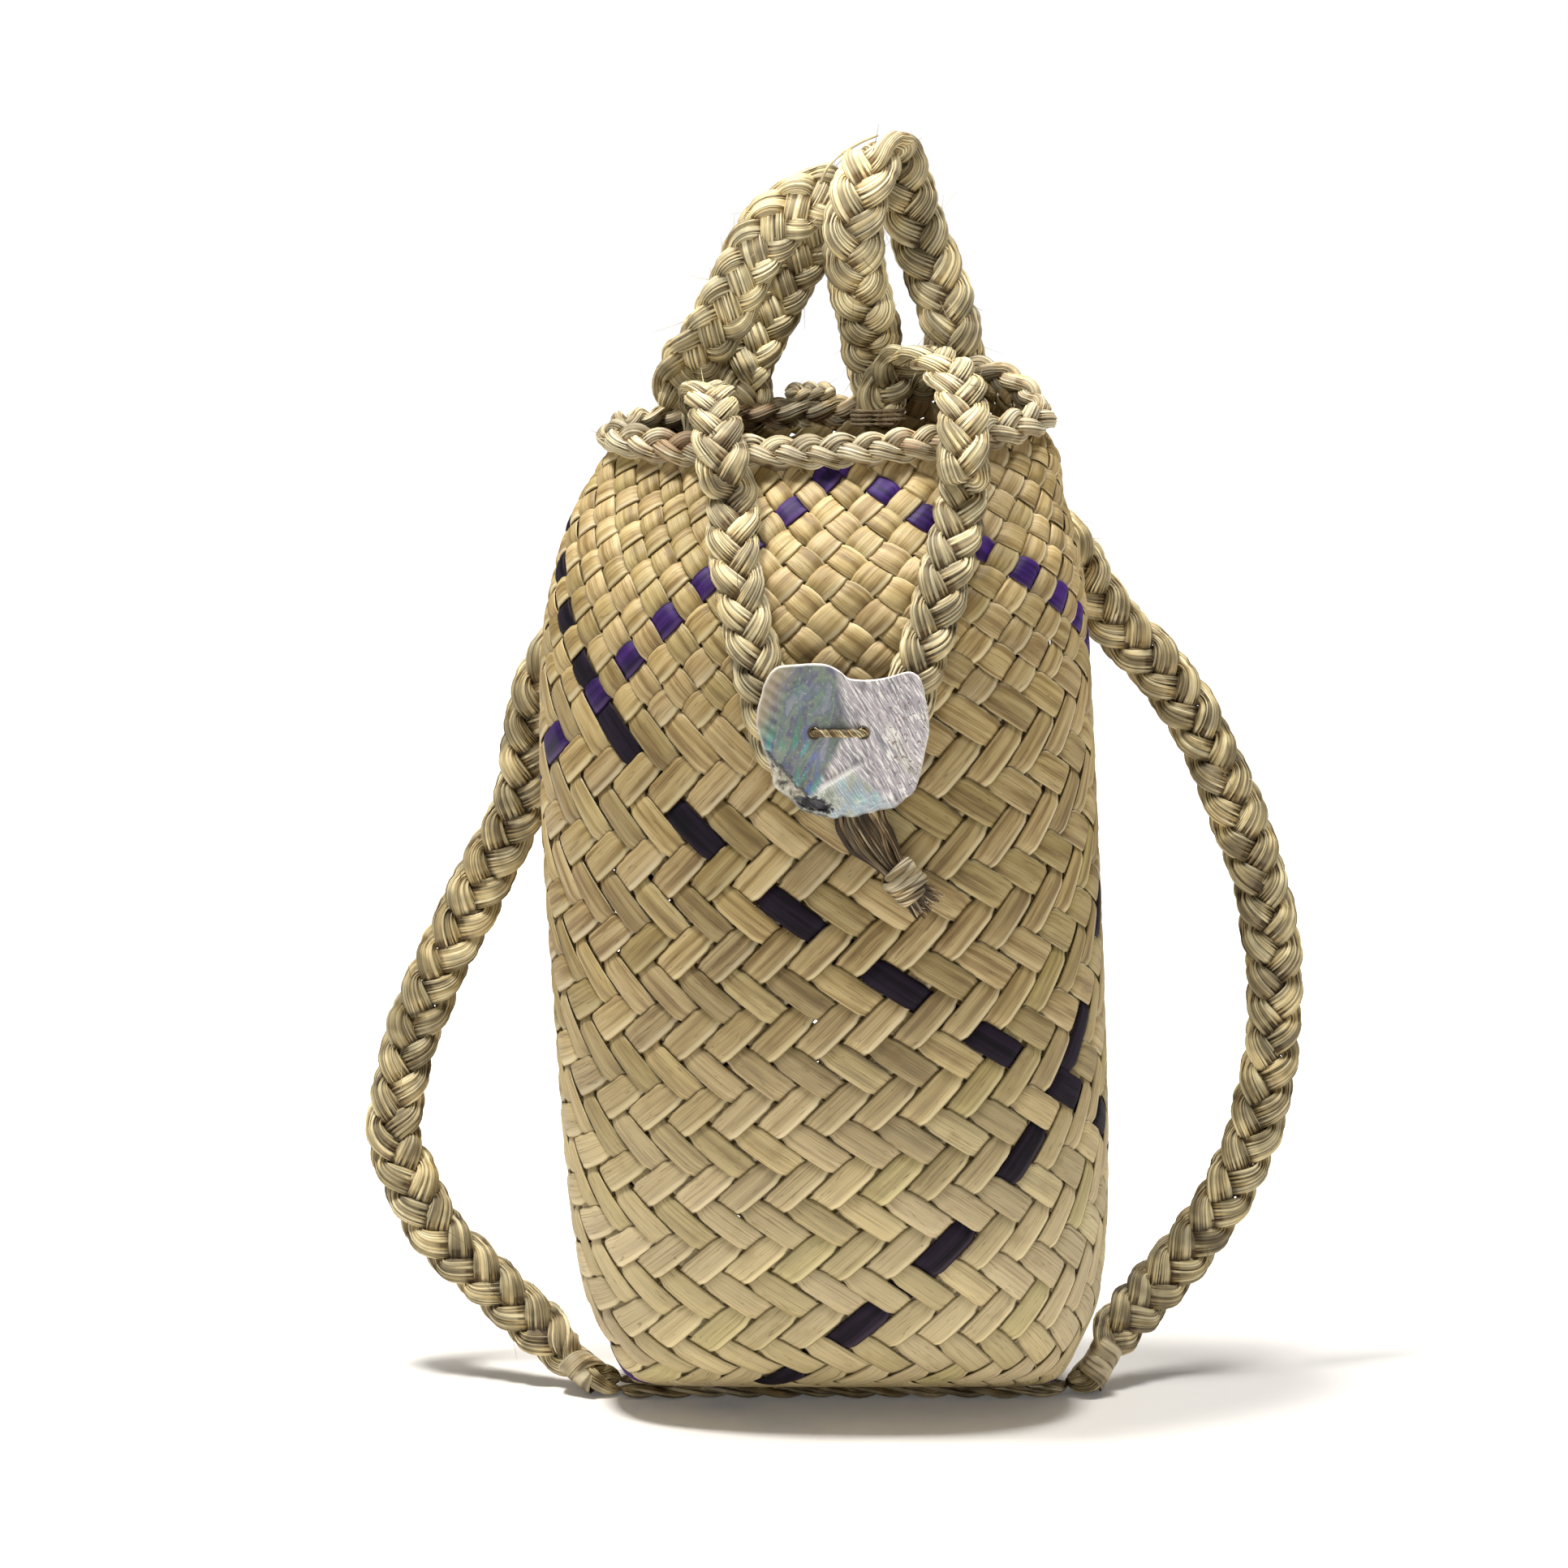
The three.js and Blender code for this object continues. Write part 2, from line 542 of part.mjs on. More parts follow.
function addStraps() {
  const left = strapPath(-1, {
    onBack: [[0.566, 0.905, 0.2], [0.84, 0.82, 0.3]],
    beside: [
      [10.5, 0.633, 0.745], [16, 0.658, 0.684], [21, 0.658, 0.608], [31, 0.658, 0.553],
      [40.5, 0.658, 0.501], [50.5, 0.646, 0.45], [59.5, 0.633, 0.397], [65, 0.62, 0.363],
      [70.5, 0.582, 0.301], [72.5, 0.532, 0.253], [66.5, 0.481, 0.211], [55.5, 0.405, 0.158],
      [42, 0.342, 0.125], [25.2, 0.253, 0.088],
    ],
    byFoot: [[25.5, 12, 15], [13, 4, 5.5], [6, 0.4, 1.4]],
  });
  addPlait('left_shoulder_strap', left, STRAP, { facing: strapFacing(-1), narrow: strapNarrow });
  const right = strapPath(1, {
    onBack: [[0.511, 0.925, 0], [0.721, 0.885, 3.4]],
    beside: [
      [-10.7, 0.646, 0.838], [2.5, 0.658, 0.793], [17, 0.658, 0.755], [30.3, 0.658, 0.705],
      [41.5, 0.658, 0.647], [51.5, 0.646, 0.582], [59.8, 0.633, 0.518], [64.8, 0.62, 0.442],
      [65.7, 0.608, 0.379], [60.3, 0.557, 0.287], [50.8, 0.506, 0.216], [34, 0.43, 0.146],
      [15.5, 0.304, 0.095],
    ],
    byFoot: [[16, 7, 18], [6.5, 0.4, 2.4]],
  });
  addPlait('right_shoulder_strap', right, STRAP, { facing: strapFacing(1), narrow: strapNarrow });
  return { left, right };
}

// Ties round the top of each strap, and a strip wound round each strap where it leaves the base
function addStrapBands({ left, right }) {
  for (const [side, path] of [['left', left], ['right', right]]) {
    const frames = pathFrames(path, { facing: strapFacing(side === 'left' ? -1 : 1), step: 3 });
    const last = frames.length - 1;
    const tieCore = { ...STRAP, width: STRAP.width * strapNarrow(3 / last) };
    addBand(`${side}_strap_tie`, frames[2], tieCore, TIE, MATERIALS.twine);
    const wrap = { turns: 1, thickness: 1.4, pitch: 6, slack: 0.8 };
    addBand(`${side}_corner_wrap`, frames[last - 5], STRAP, wrap, MATERIALS.flax);
  }
}

// Closure loop: two plaits from inside the back rim, over the mouth and down the front
const CLOSURE_OFF = CLOSURE.thickness / 2 + CLEARANCE;
const CLOSURE_ROOT_TURNS = { left: 0.352, right: 0.208 };
const LASHING = { turns: 3, thickness: 1, pitch: 1.6, slack: 0.5 };

// On the front the plaits lie flat against the body, so their width follows its section,
// and at their roots it follows the rim.
function closureAcross(rootTurn) {
  const ROOT_SHARE = 0.12;
  const { along } = rimWays(rootTurn);
  return (share, p) => {
    const nearRoot = 1 - smoothStep(0, ROOT_SHARE, share);
    if (nearRoot > 0) return vec(1 - nearRoot, 0, 0).addScaledVector(along, nearRoot);
    const z = Math.min(p.z, RIM_HEIGHT - 6);
    const reach = 1;
    const slope = bodyY(p.x + reach, z) - bodyY(p.x - reach, z);
    const onBody = p.y < 0 ? 1 - smoothStep(RIM_HEIGHT - 30, RIM_HEIGHT, p.z) : 0;
    return vec(2 * reach, slope * onBody, 0);
  };
}

// A closure plait rises from inside the mouth, flat against the rim plait.
function closureRoot(turn) {
  const RUN = 8;
  const gap = LASHING.thickness + LASHING.slack + 2 * CLEARANCE;
  const away = (RIM_PLAIT.width + CLOSURE.thickness) / 2 + gap;
  const p = rimPoint(turn).addScaledVector(rimWays(turn).inward, away);
  return [p.clone().setZ(p.z - RUN), p];
}

// A place on the front: across from the button, and a share of the way up from it to the rim.
function onFront([across, up, extra = 0]) {
  return offBody(BUTTON_X + across, mix(BUTTON_Z, RIM_HEIGHT, up), CLOSURE_OFF + extra);
}

// A place in front of the rim plait, at a height above the rim.
function beforeRim([x, up, extra]) {
  const out = RIM_SECTION.d + RIM_PLAIT.width / 2 + CLOSURE_OFF + extra;
  return vec(LEAN_MOUTH + (x * MOUTH_WIDTH) / 2, -out, RIM_HEIGHT + up);
}

const CLOSURE_LEFT = [
  ...closureRoot(CLOSURE_ROOT_TURNS.left),
  overMouth(-0.565, 0.22, 19), overMouth(-0.54, -0.343, 21), overMouth(-0.515, -0.829, 15),
  ...[[-0.488, 4, -1], [-0.464, -7, 5]].map(beforeRim),
  ...[[-39.5, 0.804, 1.8], [-39.3, 0.637, 0.8], [-37, 0.51], [-34.5, 0.392],
    [-31, 0.245], [-27, 0.108], [-23, -0.039], [-14, -0.157], [-6, -0.206]].map(onFront),
];
const CLOSURE_RIGHT = [
  ...closureRoot(CLOSURE_ROOT_TURNS.right),
  overMouth(0.345, 0.343, 31), overMouth(0.43, 0, 35), overMouth(0.53, -0.429, 32),
  overMouth(0.6, -0.886, 23),
  ...[[0.612, 10, 0], [0.609, -5, 6]].map(beforeRim),
  ...[[47, 0.853, 1.8], [44.5, 0.706, 0.8], [41.5, 0.608], [38, 0.5],
    [34.5, 0.373], [29.5, 0.225], [24, 0.059], [19.5, -0.088], [16, -0.196]].map(onFront),
];

function addClosure() {
  const leftAcross = closureAcross(CLOSURE_ROOT_TURNS.left);
  const rightAcross = closureAcross(CLOSURE_ROOT_TURNS.right);
  addPlait('closure_left_plait', CLOSURE_LEFT, CLOSURE, { across: leftAcross, step: 7 });
  addPlait('closure_right_plait', CLOSURE_RIGHT, CLOSURE, { across: rightAcross, step: 7 });
  const frames = pathFrames(CLOSURE_RIGHT, { across: rightAcross, step: 3 });
  addBand('closure_lashing', frames[1], CLOSURE, LASHING, MATERIALS.twine);
}

// The tail: the two plaits' strands come out under the button, are bound together and fray
// Its way is given from the button, as (across, up), and each place has a section and a way off.
const TAIL_PATH = [
  [6.4, -26.6], [8.3, -33.9], [12.4, -41.6], [18.4, -50.6], [23.6, -57], [28.8, -62.4], [35.8, -68.6],
];
const TAIL_SIZES = [[17, 6], [22, 8], [21, 8], [12, 8], [9, 7.5], [13, 6.5], [17, 4.5]];
const TAIL_OFFS = [2.9, 4.3, 4.7, 6.4, 8, 7.2, 5.4];

function addTail() {
  const points = TAIL_PATH.map(([x, z], i) => {
    return offBody(BUTTON_X + x, BUTTON_Z + z, TAIL_OFFS[i] + CLEARANCE);
  });
  const curve = new THREE.CatmullRomCurve3(points, false, 'centripetal');
  const rings = [];
  const frames = [];
  const steps = TAIL_SIZES.length - 1;
  for (let i = 0; i <= steps; i += 1) {
    const share = i / steps;
    const p = curve.getPoint(share);
    const t = curve.getTangent(share);
    const flat = vec(0, -1, 0).addScaledVector(t, t.y).normalize();
    const wide = t.clone().cross(flat).normalize();
    frames.push({ p, t, wide, flat });
    rings.push(ringFrom(frames[i], plaitSection(...TAIL_SIZES[i])));
  }
  const { points: all, triangles } = loft(rings);
  addSolid('closure_tail', all, triangles, MATERIALS.plaitedFlax);
  const knot = 4;
  const core = { width: TAIL_SIZES[knot][0] + 3.9, thickness: TAIL_SIZES[knot][1] + 1.4 };
  addBand('closure_binding', frames[knot], core, { turns: 4, thickness: 2.6, pitch: 1.9 }, MATERIALS.twine);
}

// Shell button: a broken disc of shell, cupped, with two drilled holes and a twine stitch

// Outline round the stitch, clockwise from the top left, as (across, up).
const SHELL_OUTLINE = [
  [-23.4, 25], [-16.8, 25.9], [-10.3, 26.3], [-4.5, 25.9], [-0.9, 24.3], [3.8, 20.7], [8.6, 20.1],
  [14.3, 20.3], [19.4, 21.4], [27.4, 23.3], [30.4, 21], [32.1, 16.3], [34.1, 2.5], [31.7, -11.2],
  [28.5, -22.1], [25.9, -25], [21.6, -27.9], [8.6, -31.2], [-3.1, -32.3], [-10.3, -30.8],
  [-15.4, -28.3], [-24.4, -19.2], [-25.2, -14.9], [-29.5, -3.3], [-31.2, 4], [-28.8, 16.3],
  [-26.9, 21.4],
];
const SHELL_BACK = 2 * CLOSURE_OFF + CLEARANCE;
const STITCH_Y = bodyY(BUTTON_X, BUTTON_Z, SHELL_BACK);

function toManifold(points, triangles) {
  const geometry = new THREE.BufferGeometry();
  const positions = points.flatMap((p) => [p.x, p.y, p.z]);
  geometry.setAttribute('position', new THREE.Float32BufferAttribute(positions, 3));
  geometry.setIndex(triangles.flat());
  return geometryManifold(geometry);
}

function geometryManifold(geometry) {
  const bare = geometry.clone();
  bare.deleteAttribute('normal');
  bare.deleteAttribute('uv');
  const merged = mergeVertices(bare);
  const vertProperties = new Float32Array(merged.attributes.position.array);
  const triVerts = new Uint32Array(merged.index.array);
  return new wasm.Manifold(new wasm.Mesh({ numProp: 3, vertProperties, triVerts }));
}

// The cupped disc lies in rings from its middle out to its edge, front and back.
function addShellButton() {
  const RIM_STEPS = 40;
  const corners = SHELL_OUTLINE.map(([x, z]) => vec(x, 0, z));
  const outline = new THREE.CatmullRomCurve3(corners, true, 'centripetal');
  const edge = outline.getSpacedPoints(RIM_STEPS).slice(0, RIM_STEPS);
  const SHARES = [0.3, 0.62, 0.88, 1];
  const bow = (x, z) => SHELL_CUP * ((x / 34) ** 2 * 0.55 + (z / 34) ** 2 * 0.45);
  const face = (through) => SHARES.map((share) => edge.map((e) => {
    const x = e.x * share;
    const z = e.z * share;
    const thin = share === 1 ? 0.7 : 1;
    return vec(BUTTON_X + x, STITCH_Y - bow(x, z) - SHELL_THICKNESS / 2 + through * thin, BUTTON_Z + z);
  }));
  const front = face(-SHELL_THICKNESS / 2);
  const back = face(SHELL_THICKNESS / 2);
  const { points, triangles } = loft([...back, ...front.reverse()]);
  const blank = toManifold(points, orient(points, triangles));
  let solid = blank;
  for (const side of [-1, 1]) {
    const drill = new THREE.CylinderGeometry(HOLE_DIAMETER / 2, HOLE_DIAMETER / 2, 6 * SHELL_THICKNESS, 16);
    drill.translate(BUTTON_X + (side * HOLE_SPACING) / 2, STITCH_Y - SHELL_THICKNESS / 2, BUTTON_Z);
    solid = solid.subtract(geometryManifold(drill));
  }
  const cut = solid.getMesh();
  const cutPoints = [];
  for (let i = 0; i < cut.vertProperties.length; i += 3) {
    cutPoints.push(vec(...cut.vertProperties.slice(i, i + 3)));
  }
  const faces = [];
  for (let i = 0; i < cut.triVerts.length; i += 3) faces.push([...cut.triVerts.slice(i, i + 3)]);
  addSolid('shell_button', cutPoints, faces, MATERIALS.shell);
}

// Turns a closed mesh's faces outwards.
function orient(points, triangles) {
  let volume = 0;
  for (const [a, b, c] of triangles) volume += points[a].dot(points[b].clone().cross(points[c]));
  return volume < 0 ? triangles.map(([a, b, c]) => [a, c, b]) : triangles;
}

// The twine comes out of the weave, through one hole, across the front and back through the other.
function addButtonTwine() {
  const reach = HOLE_SPACING / 2;
  const front = STITCH_Y - SHELL_THICKNESS - TWINE / 2 - 0.5;
  const wall = bodyY(BUTTON_X, BUTTON_Z, 2.5 * CLEARANCE);
  const spread = TWINE / 2 + 0.25;
  const half = [
    vec(spread, wall, 0), vec(spread + 1.5, wall - 2.2, 0), vec(reach - 1.1, STITCH_Y + 1.8, 0),
    vec(reach, STITCH_Y, 0), vec(reach + 0.1, STITCH_Y - SHELL_THICKNESS, 0), vec(reach - 1.3, front, 0),
    vec(reach / 3, front - 0.2, 0),
  ];
  const path = [...half.map((p) => vec(-p.x, p.y, p.z)), ...half.slice().reverse()];
  const points = path.map((p) => vec(p.x + BUTTON_X, p.y, p.z + BUTTON_Z));
  const frames = pathFrames(points, { facing: () => vec(0, 0, 1), step: 1.8 });
  const pairs = plaitSection(TWINE, TWINE, 8);
  const { points: all, triangles } = loft(frames.map((f) => ringFrom(f, pairs)));
  addSolid('button_twine', all, triangles, MATERIALS.twine);
}

// Inside the bag the twine ends in a knot against the wall.
function addTwineKnot() {
  const KNOT = 7;
  const knot = new THREE.SphereGeometry(KNOT / 2, 12, 8);
  knot.scale(1.3, 0.8, 1);
  const inside = bodyY(BUTTON_X, BUTTON_Z) + WALL + CLEARANCE + 0.15 + KNOT * 0.4;
  knot.translate(BUTTON_X, inside, BUTTON_Z);
  const bare = knot.clone();
  bare.deleteAttribute('normal');
  bare.deleteAttribute('uv');
  const mesh = new THREE.Mesh(mergeVertices(bare, 1e-4), MATERIALS.twine);
  mesh.name = 'twine_knot';
  part.add(mesh);
}

addWovenBody();
addRimPlait();
addRimTail();
addBasePlait();
addHandles();
addStrapBands(addStraps());
addClosure();
addTail();
addShellButton();
addButtonTwine();
addTwineKnot();

export default part;
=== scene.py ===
"""Woven flax backpack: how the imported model's pieces look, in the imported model's own frame.

Shapes are worked out in millimetres and laid down in metres. Each part of the bag is a class that
makes its Blender objects, gives them their material and says which body they ride on.
"""
import logging
import math
from dataclasses import dataclass, field
from enum import Enum
from functools import partial, reduce
from typing import Callable, Iterable, Sequence

import bpy
import numpy as np
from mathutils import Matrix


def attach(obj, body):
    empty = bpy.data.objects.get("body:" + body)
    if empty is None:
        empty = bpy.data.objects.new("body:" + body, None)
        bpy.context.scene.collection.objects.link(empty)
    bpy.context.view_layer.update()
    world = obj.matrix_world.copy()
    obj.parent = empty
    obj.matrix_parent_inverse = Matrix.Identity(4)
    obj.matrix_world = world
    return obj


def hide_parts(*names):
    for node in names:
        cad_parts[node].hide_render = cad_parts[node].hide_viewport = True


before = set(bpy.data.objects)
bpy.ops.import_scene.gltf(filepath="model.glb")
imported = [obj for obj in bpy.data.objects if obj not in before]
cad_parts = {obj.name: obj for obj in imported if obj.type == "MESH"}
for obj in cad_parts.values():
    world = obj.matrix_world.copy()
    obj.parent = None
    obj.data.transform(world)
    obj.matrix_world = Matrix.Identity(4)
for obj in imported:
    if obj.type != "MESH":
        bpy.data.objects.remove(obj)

LOG = logging.getLogger("backpack")
MM = 0.001
HAIR_RADIUS = 0.16
Array = np.ndarray
Point = tuple[float, float, float]
Rng = np.random.Generator
Way = Callable[[float, Array], Array]
Socket = bpy.types.NodeSocket
Value = float | Point | Socket


def mix(low: float, high: float, share: float) -> float:
    """Returns the value a share of the way from low to high."""
    return low + (high - low) * share


def smooth_step(low: float, high: float, value: Array | float) -> Array:
    """Returns 0 below low, 1 above high and an eased value between."""
    share = np.clip((np.asarray(value, dtype=float) - low) / (high - low), 0.0, 1.0)
    return share * share * (3.0 - 2.0 * share)


def unit(vectors: Array) -> Array:
    """Returns the vectors at length one; a zero vector stays zero."""
    lengths = np.linalg.norm(vectors, axis=-1, keepdims=True)
    return vectors / np.maximum(lengths, 1e-9)


def square_to(vectors: Array, along: Array) -> Array:
    """Returns the vectors turned square to the ways along, at length one."""
    return unit(vectors - (vectors * along).sum(axis=1, keepdims=True) * along)


def signed_power(values: Array, power: float) -> Array:
    """Returns the values raised to a power, with their signs kept."""
    return np.sign(values) * np.abs(values) ** power


def run_along(points: Array) -> Array:
    """Returns how far each point lies along the way through them all."""
    return np.concatenate([[0.0], np.cumsum(np.linalg.norm(np.diff(points, axis=0), axis=1))])


def between(target: Array, run: Array, rows: Array) -> Array:
    """Returns rows of three values at target places, from rows at the places of a run."""
    return np.stack([np.interp(target, run, rows[:, k]) for k in range(3)], axis=1)


def wander(rng: Rng, run: Array, every: float, columns: int = 1) -> Array:
    """Returns smooth random values between -1 and 1 along a run.

    Args:
        rng: the seeded source of the values.
        run: places along the run, rising.
        every: how far apart the random values lie.
        columns: how many separate curves are made.

    Returns:
        One row per place and one column per curve.
    """
    knots = int(run[-1] / every) + 3
    values = rng.uniform(-1, 1, (knots, columns))
    place = (run - run[0]) / every
    low = np.minimum(place.astype(int), knots - 2)
    share = smooth_step(0, 1, place - low)[:, None]
    return values[low] * (1 - share) + values[low + 1] * share


# The bag's form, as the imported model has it


@dataclass(frozen=True)
class BodyForm:
    """The woven body's outer form, in millimetres."""

    body_width: float = 219.0
    body_depth: float = 158.0
    base_width: float = 178.0
    base_depth: float = 118.0
    mouth_width: float = 170.0
    mouth_depth: float = 70.0
    rim_height: float = 380.0
    shoulder_drop: float = 54.0
    base_edge: float = 20.0
    seam_height: float = 5.55
    seam_depth: float = 25.0
    wall: float = 2.6
    clearance: float = 0.35
    tilt_right: float = 3.5
    tilt_back: float = 5.0
    tilt_saddle: float = 1.8
    tilt_peak: float = 14.0
    tilt_reach: float = 140.0
    lean_belly: float = -11.5
    lean_mouth: float = -7.0
    rows: list[Sequence[float]] = field(init=False)

    RING_STEPS = 720
    TILT_ROUNDS = 12
    NORMAL_STEP = 1.5

    def __post_init__(self) -> None:
        """Stacks the sections: height, half width, half depth, squareness and sideways lean."""
        shoulder = self.rim_height - self.shoulder_drop
        belly = mix(self.base_edge, shoulder, 0.72)
        lower = mix(self.base_edge, shoulder, 0.45)
        lean, rim, edge = self.lean_belly, self.rim_height, self.base_edge

        def width(share: float) -> float:
            """Returns a half width between the base's and the belly's."""
            return mix(self.base_width, self.body_width, share) / 2

        def depth(share: float) -> float:
            """Returns a half depth between the base's and the belly's."""
            return mix(self.base_depth, self.body_depth, share) / 2

        rows = [
            (self.seam_height, width(0) - 5, self.seam_depth / 2, 5, 0),
            (edge * 0.72, width(0) - 1, depth(0) - 14, 4.6, 0),
            (edge + 5, width(0.2), depth(0), 4, 0),
            (edge + 24, width(0.64), depth(0.4), 3.1, lean * 0.05),
            (edge + 66, width(0.89), depth(0.76), 2.6, lean * 0.2),
            (lower, width(0.98), depth(0.93), 2.35, lean * 0.5),
            (belly, width(1), depth(1), 2.25, lean * 0.87),
            (shoulder - 22, width(0.89), depth(0.85), 2.2, lean),
            (shoulder + 10, width(0.66), depth(0.45), 2.2, lean * 0.91),
            (rim - 24, self.mouth_width / 2 + 11, self.mouth_depth / 2 + 20, 2.1, self.lean_mouth * 1.46),
            (rim - 9, self.mouth_width / 2 + 6, self.mouth_depth / 2 + 8, 2, self.lean_mouth),
            (rim, self.mouth_width / 2, self.mouth_depth / 2, 2, self.lean_mouth),
        ]
        object.__setattr__(self, "rows", rows)

    def section_at(self, height: float) -> tuple[float, ...]:
        """Returns the section at a height on the smooth stack.

        Args:
            height: up from the floor.

        Returns:
            Its height, half width, half depth, squareness and lean.
        """
        rows, top = self.rows, len(self.rows) - 1
        k = 0
        while k < top - 1 and height > rows[k + 1][0]:
            k += 1
        low, high = rows[k], rows[k + 1]
        span = high[0] - low[0]
        t = min(1.0, max(0.0, (height - low[0]) / span))

        def value(key: int) -> float:
            """Returns one of the section's values.

            Args:
                key: its place in a row of the stack.

            Returns:
                The value, on a smooth curve through the rows.
            """
            below, above = rows[max(0, k - 1)], rows[min(top, k + 2)]
            slope_low = (high[key] - below[key]) / (high[0] - below[0])
            slope_high = (above[key] - low[key]) / (above[0] - low[0])
            return ((2 * t**3 - 3 * t**2 + 1) * low[key] + (t**3 - 2 * t**2 + t) * span * slope_low
                    + (3 * t**2 - 2 * t**3) * high[key] + (t**3 - t**2) * span * slope_high)

        return (height, value(1), value(2), value(3), value(4))

    def tilt_lift(self, height: float, across: Array | float, back: Array | float) -> Array:
        """Returns how far the mouth's tilt lifts places.

        Args:
            height: the height of their section.
            across: how far right they are, from -1 to 1.
            back: how far back they are, from -1 to 1.

        Returns:
            The lift, which fades out down the body.
        """
        share = smooth_step(self.rim_height - self.tilt_reach, self.rim_height, height)
        tilt = self.tilt_right * across + self.tilt_back * back
        saddle = self.tilt_saddle * (across**2 - back**2)
        peak = self.tilt_peak * (2 * np.maximum(0, across) * np.maximum(0, back)) ** 2
        return share * (tilt + saddle + peak)

    def ring(self, section: Sequence[float], count: int) -> Array:
        """Returns points at equal steps round a section.

        Args:
            section: its height, half width, half depth, squareness and lean.
            count: how many points.

        Returns:
            The points, from the right-hand side by way of the back.
        """
        height, width, depth, squareness, lean = section
        angle = np.linspace(0, 2 * math.pi, self.RING_STEPS + 1)
        c, s = np.cos(angle), np.sin(angle)
        across, back = signed_power(c, 2 / squareness), signed_power(s, 2 / squareness)
        z = height + self.tilt_lift(height, across, back)
        edge = np.stack([lean + across * width, back * depth, z], axis=1)
        run = run_along(edge)
        target = np.arange(count) / count * run[-1]
        return between(target, run, edge)

    def body_y(self, x: float, z: float, off: float = 0.0, side: int = -1) -> float:
        """Returns the y of the body's surface.

        Args:
            x: across.
            z: up.
            off: how far outside the surface.
            side: -1 for the front and 1 for the back.

        Returns:
            The y there, found in rounds because the tilt moves the section that z lies on.
        """
        level, share = z, 0.0
        section = self.section_at(level)
        for _ in range(self.TILT_ROUNDS):
            _, width, _, squareness, lean = section
            share = min(0.999, abs((x - lean) / (width + off)))
            back = side * (1 - share**squareness) ** (1 / squareness)
            level = min(self.rim_height, z - float(self.tilt_lift(level, math.copysign(share, x - lean), back)))
            section = self.section_at(level)
        squareness = section[3]
        return side * (section[2] + off) * (1 - share**squareness) ** (1 / squareness)

    def normal(self, x: float, z: float, side: int = -1) -> Array:
        """Returns the outward normal of the body.

        Args:
            x: across.
            z: up.
            side: -1 for the front and 1 for the back.

        Returns:
            The normal, at length one.
        """
        step = self.NORMAL_STEP
        along_x = np.array([2 * step, self.body_y(x + step, z, 0, side) - self.body_y(x - step, z, 0, side), 0])
        along_z = np.array([0, self.body_y(x, z + step, 0, side) - self.body_y(x, z - step, 0, side), 2 * step])
        normal = unit(np.cross(along_x, along_z))
        return normal if normal[1] * side > 0 else -normal

    def off_body(self, x: float, z: float, off: float, side: int = -1) -> Array:
        """Returns a point a given way off the body's front or back."""
        return np.array([x, self.body_y(x, z, 0, side), z]) + self.normal(x, z, side) * off

    def over_mouth(self, x: float, y: float, up: float) -> Array:
        """Returns a place over the mouth: shares of its half sizes, and a height above the rim."""
        return np.array([self.lean_mouth + x * self.mouth_width / 2, y * self.mouth_depth / 2, self.rim_height + up])


@dataclass(frozen=True)
class RimLine:
    """The middle line of the plait round the mouth. Turn 0 is the right-hand end, a quarter is the back."""

    form: BodyForm
    width: float = 11.5
    thickness: float = 10.5

    def point(self, turn: float, up: float = 0.0) -> Array:
        """Returns a point on the line.

        Args:
            turn: the share of the way round.
            up: how far the point is raised.

        Returns:
            The point.
        """
        form = self.form
        c, s = math.cos(turn * 2 * math.pi), math.sin(turn * 2 * math.pi)
        rise = 4.2 * form.clearance + self.thickness / 2
        x = form.lean_mouth + c * (form.mouth_width / 2 - form.wall / 2)
        y = s * (form.mouth_depth / 2 - form.wall / 2)
        return np.array([x, y, form.rim_height + float(form.tilt_lift(form.rim_height, c, s)) + rise + up])

    def ways(self, turn: float) -> tuple[Array, Array, Array]:
        """Returns how the rim lies.

        Args:
            turn: the share of the way round.

        Returns:
            The way along it, the level way into the mouth, and the way off its top.
        """
        step = 0.01
        along = unit(self.point(turn - step) - self.point(turn + step))
        inward = unit(np.array([along[1], -along[0], 0.0]))
        off = np.cross(inward, along)
        return along, inward, off if off[2] > 0 else -off


# Paths, and tubes of fibre that follow them


class Line:
    """A smooth curve through corner points, measured along its length."""

    FINE = 40

    def __init__(self, corners: Iterable[Array], closed: bool = False) -> None:
        """Lays the curve.

        Args:
            corners: the points that it goes through.
            closed: whether it returns to its start.
        """
        self.closed = closed
        self.dense = self._curve(np.array(list(corners), dtype=float), closed)
        self.run = run_along(self.dense)
        self.length = float(self.run[-1])

    @staticmethod
    def _curve(corners: Array, closed: bool) -> Array:
        """Returns points close together on a smooth curve.

        Args:
            corners: the points that it goes through.
            closed: whether it returns to its start.

        Returns:
            The points.
        """
        count = len(corners)
        rows = []
        for i in range(count if closed else count - 1):
            p1, p2 = corners[i], corners[(i + 1) % count]
            p0 = corners[i - 1] if closed or i > 0 else 2 * corners[0] - corners[1]
            p3 = corners[(i + 2) % count] if closed or i + 2 < count else 2 * corners[-1] - corners[-2]
            d0, d1, d2 = (max(1e-4, float(np.linalg.norm(b - a))) ** 0.5 for a, b in ((p0, p1), (p1, p2), (p2, p3)))
            m1 = ((p1 - p0) / d0 - (p2 - p0) / (d0 + d1) + (p2 - p1) / d1) * d1
            m2 = ((p2 - p1) / d1 - (p3 - p1) / (d1 + d2) + (p3 - p2) / d2) * d1
            t = np.linspace(0, 1, Line.FINE, endpoint=False)[:, None]
            rows.append(p1 + m1 * t + (3 * (p2 - p1) - 2 * m1 - m2) * t**2 + (2 * (p1 - p2) + m1 + m2) * t**3)
        rows.append(corners[:1] if closed else corners[-1:])
        return np.concatenate(rows)

    def at(self, run: Array) -> Array:
        """Returns the points at places along the curve, in millimetres from its start."""
        return between(run, self.run, self.dense)


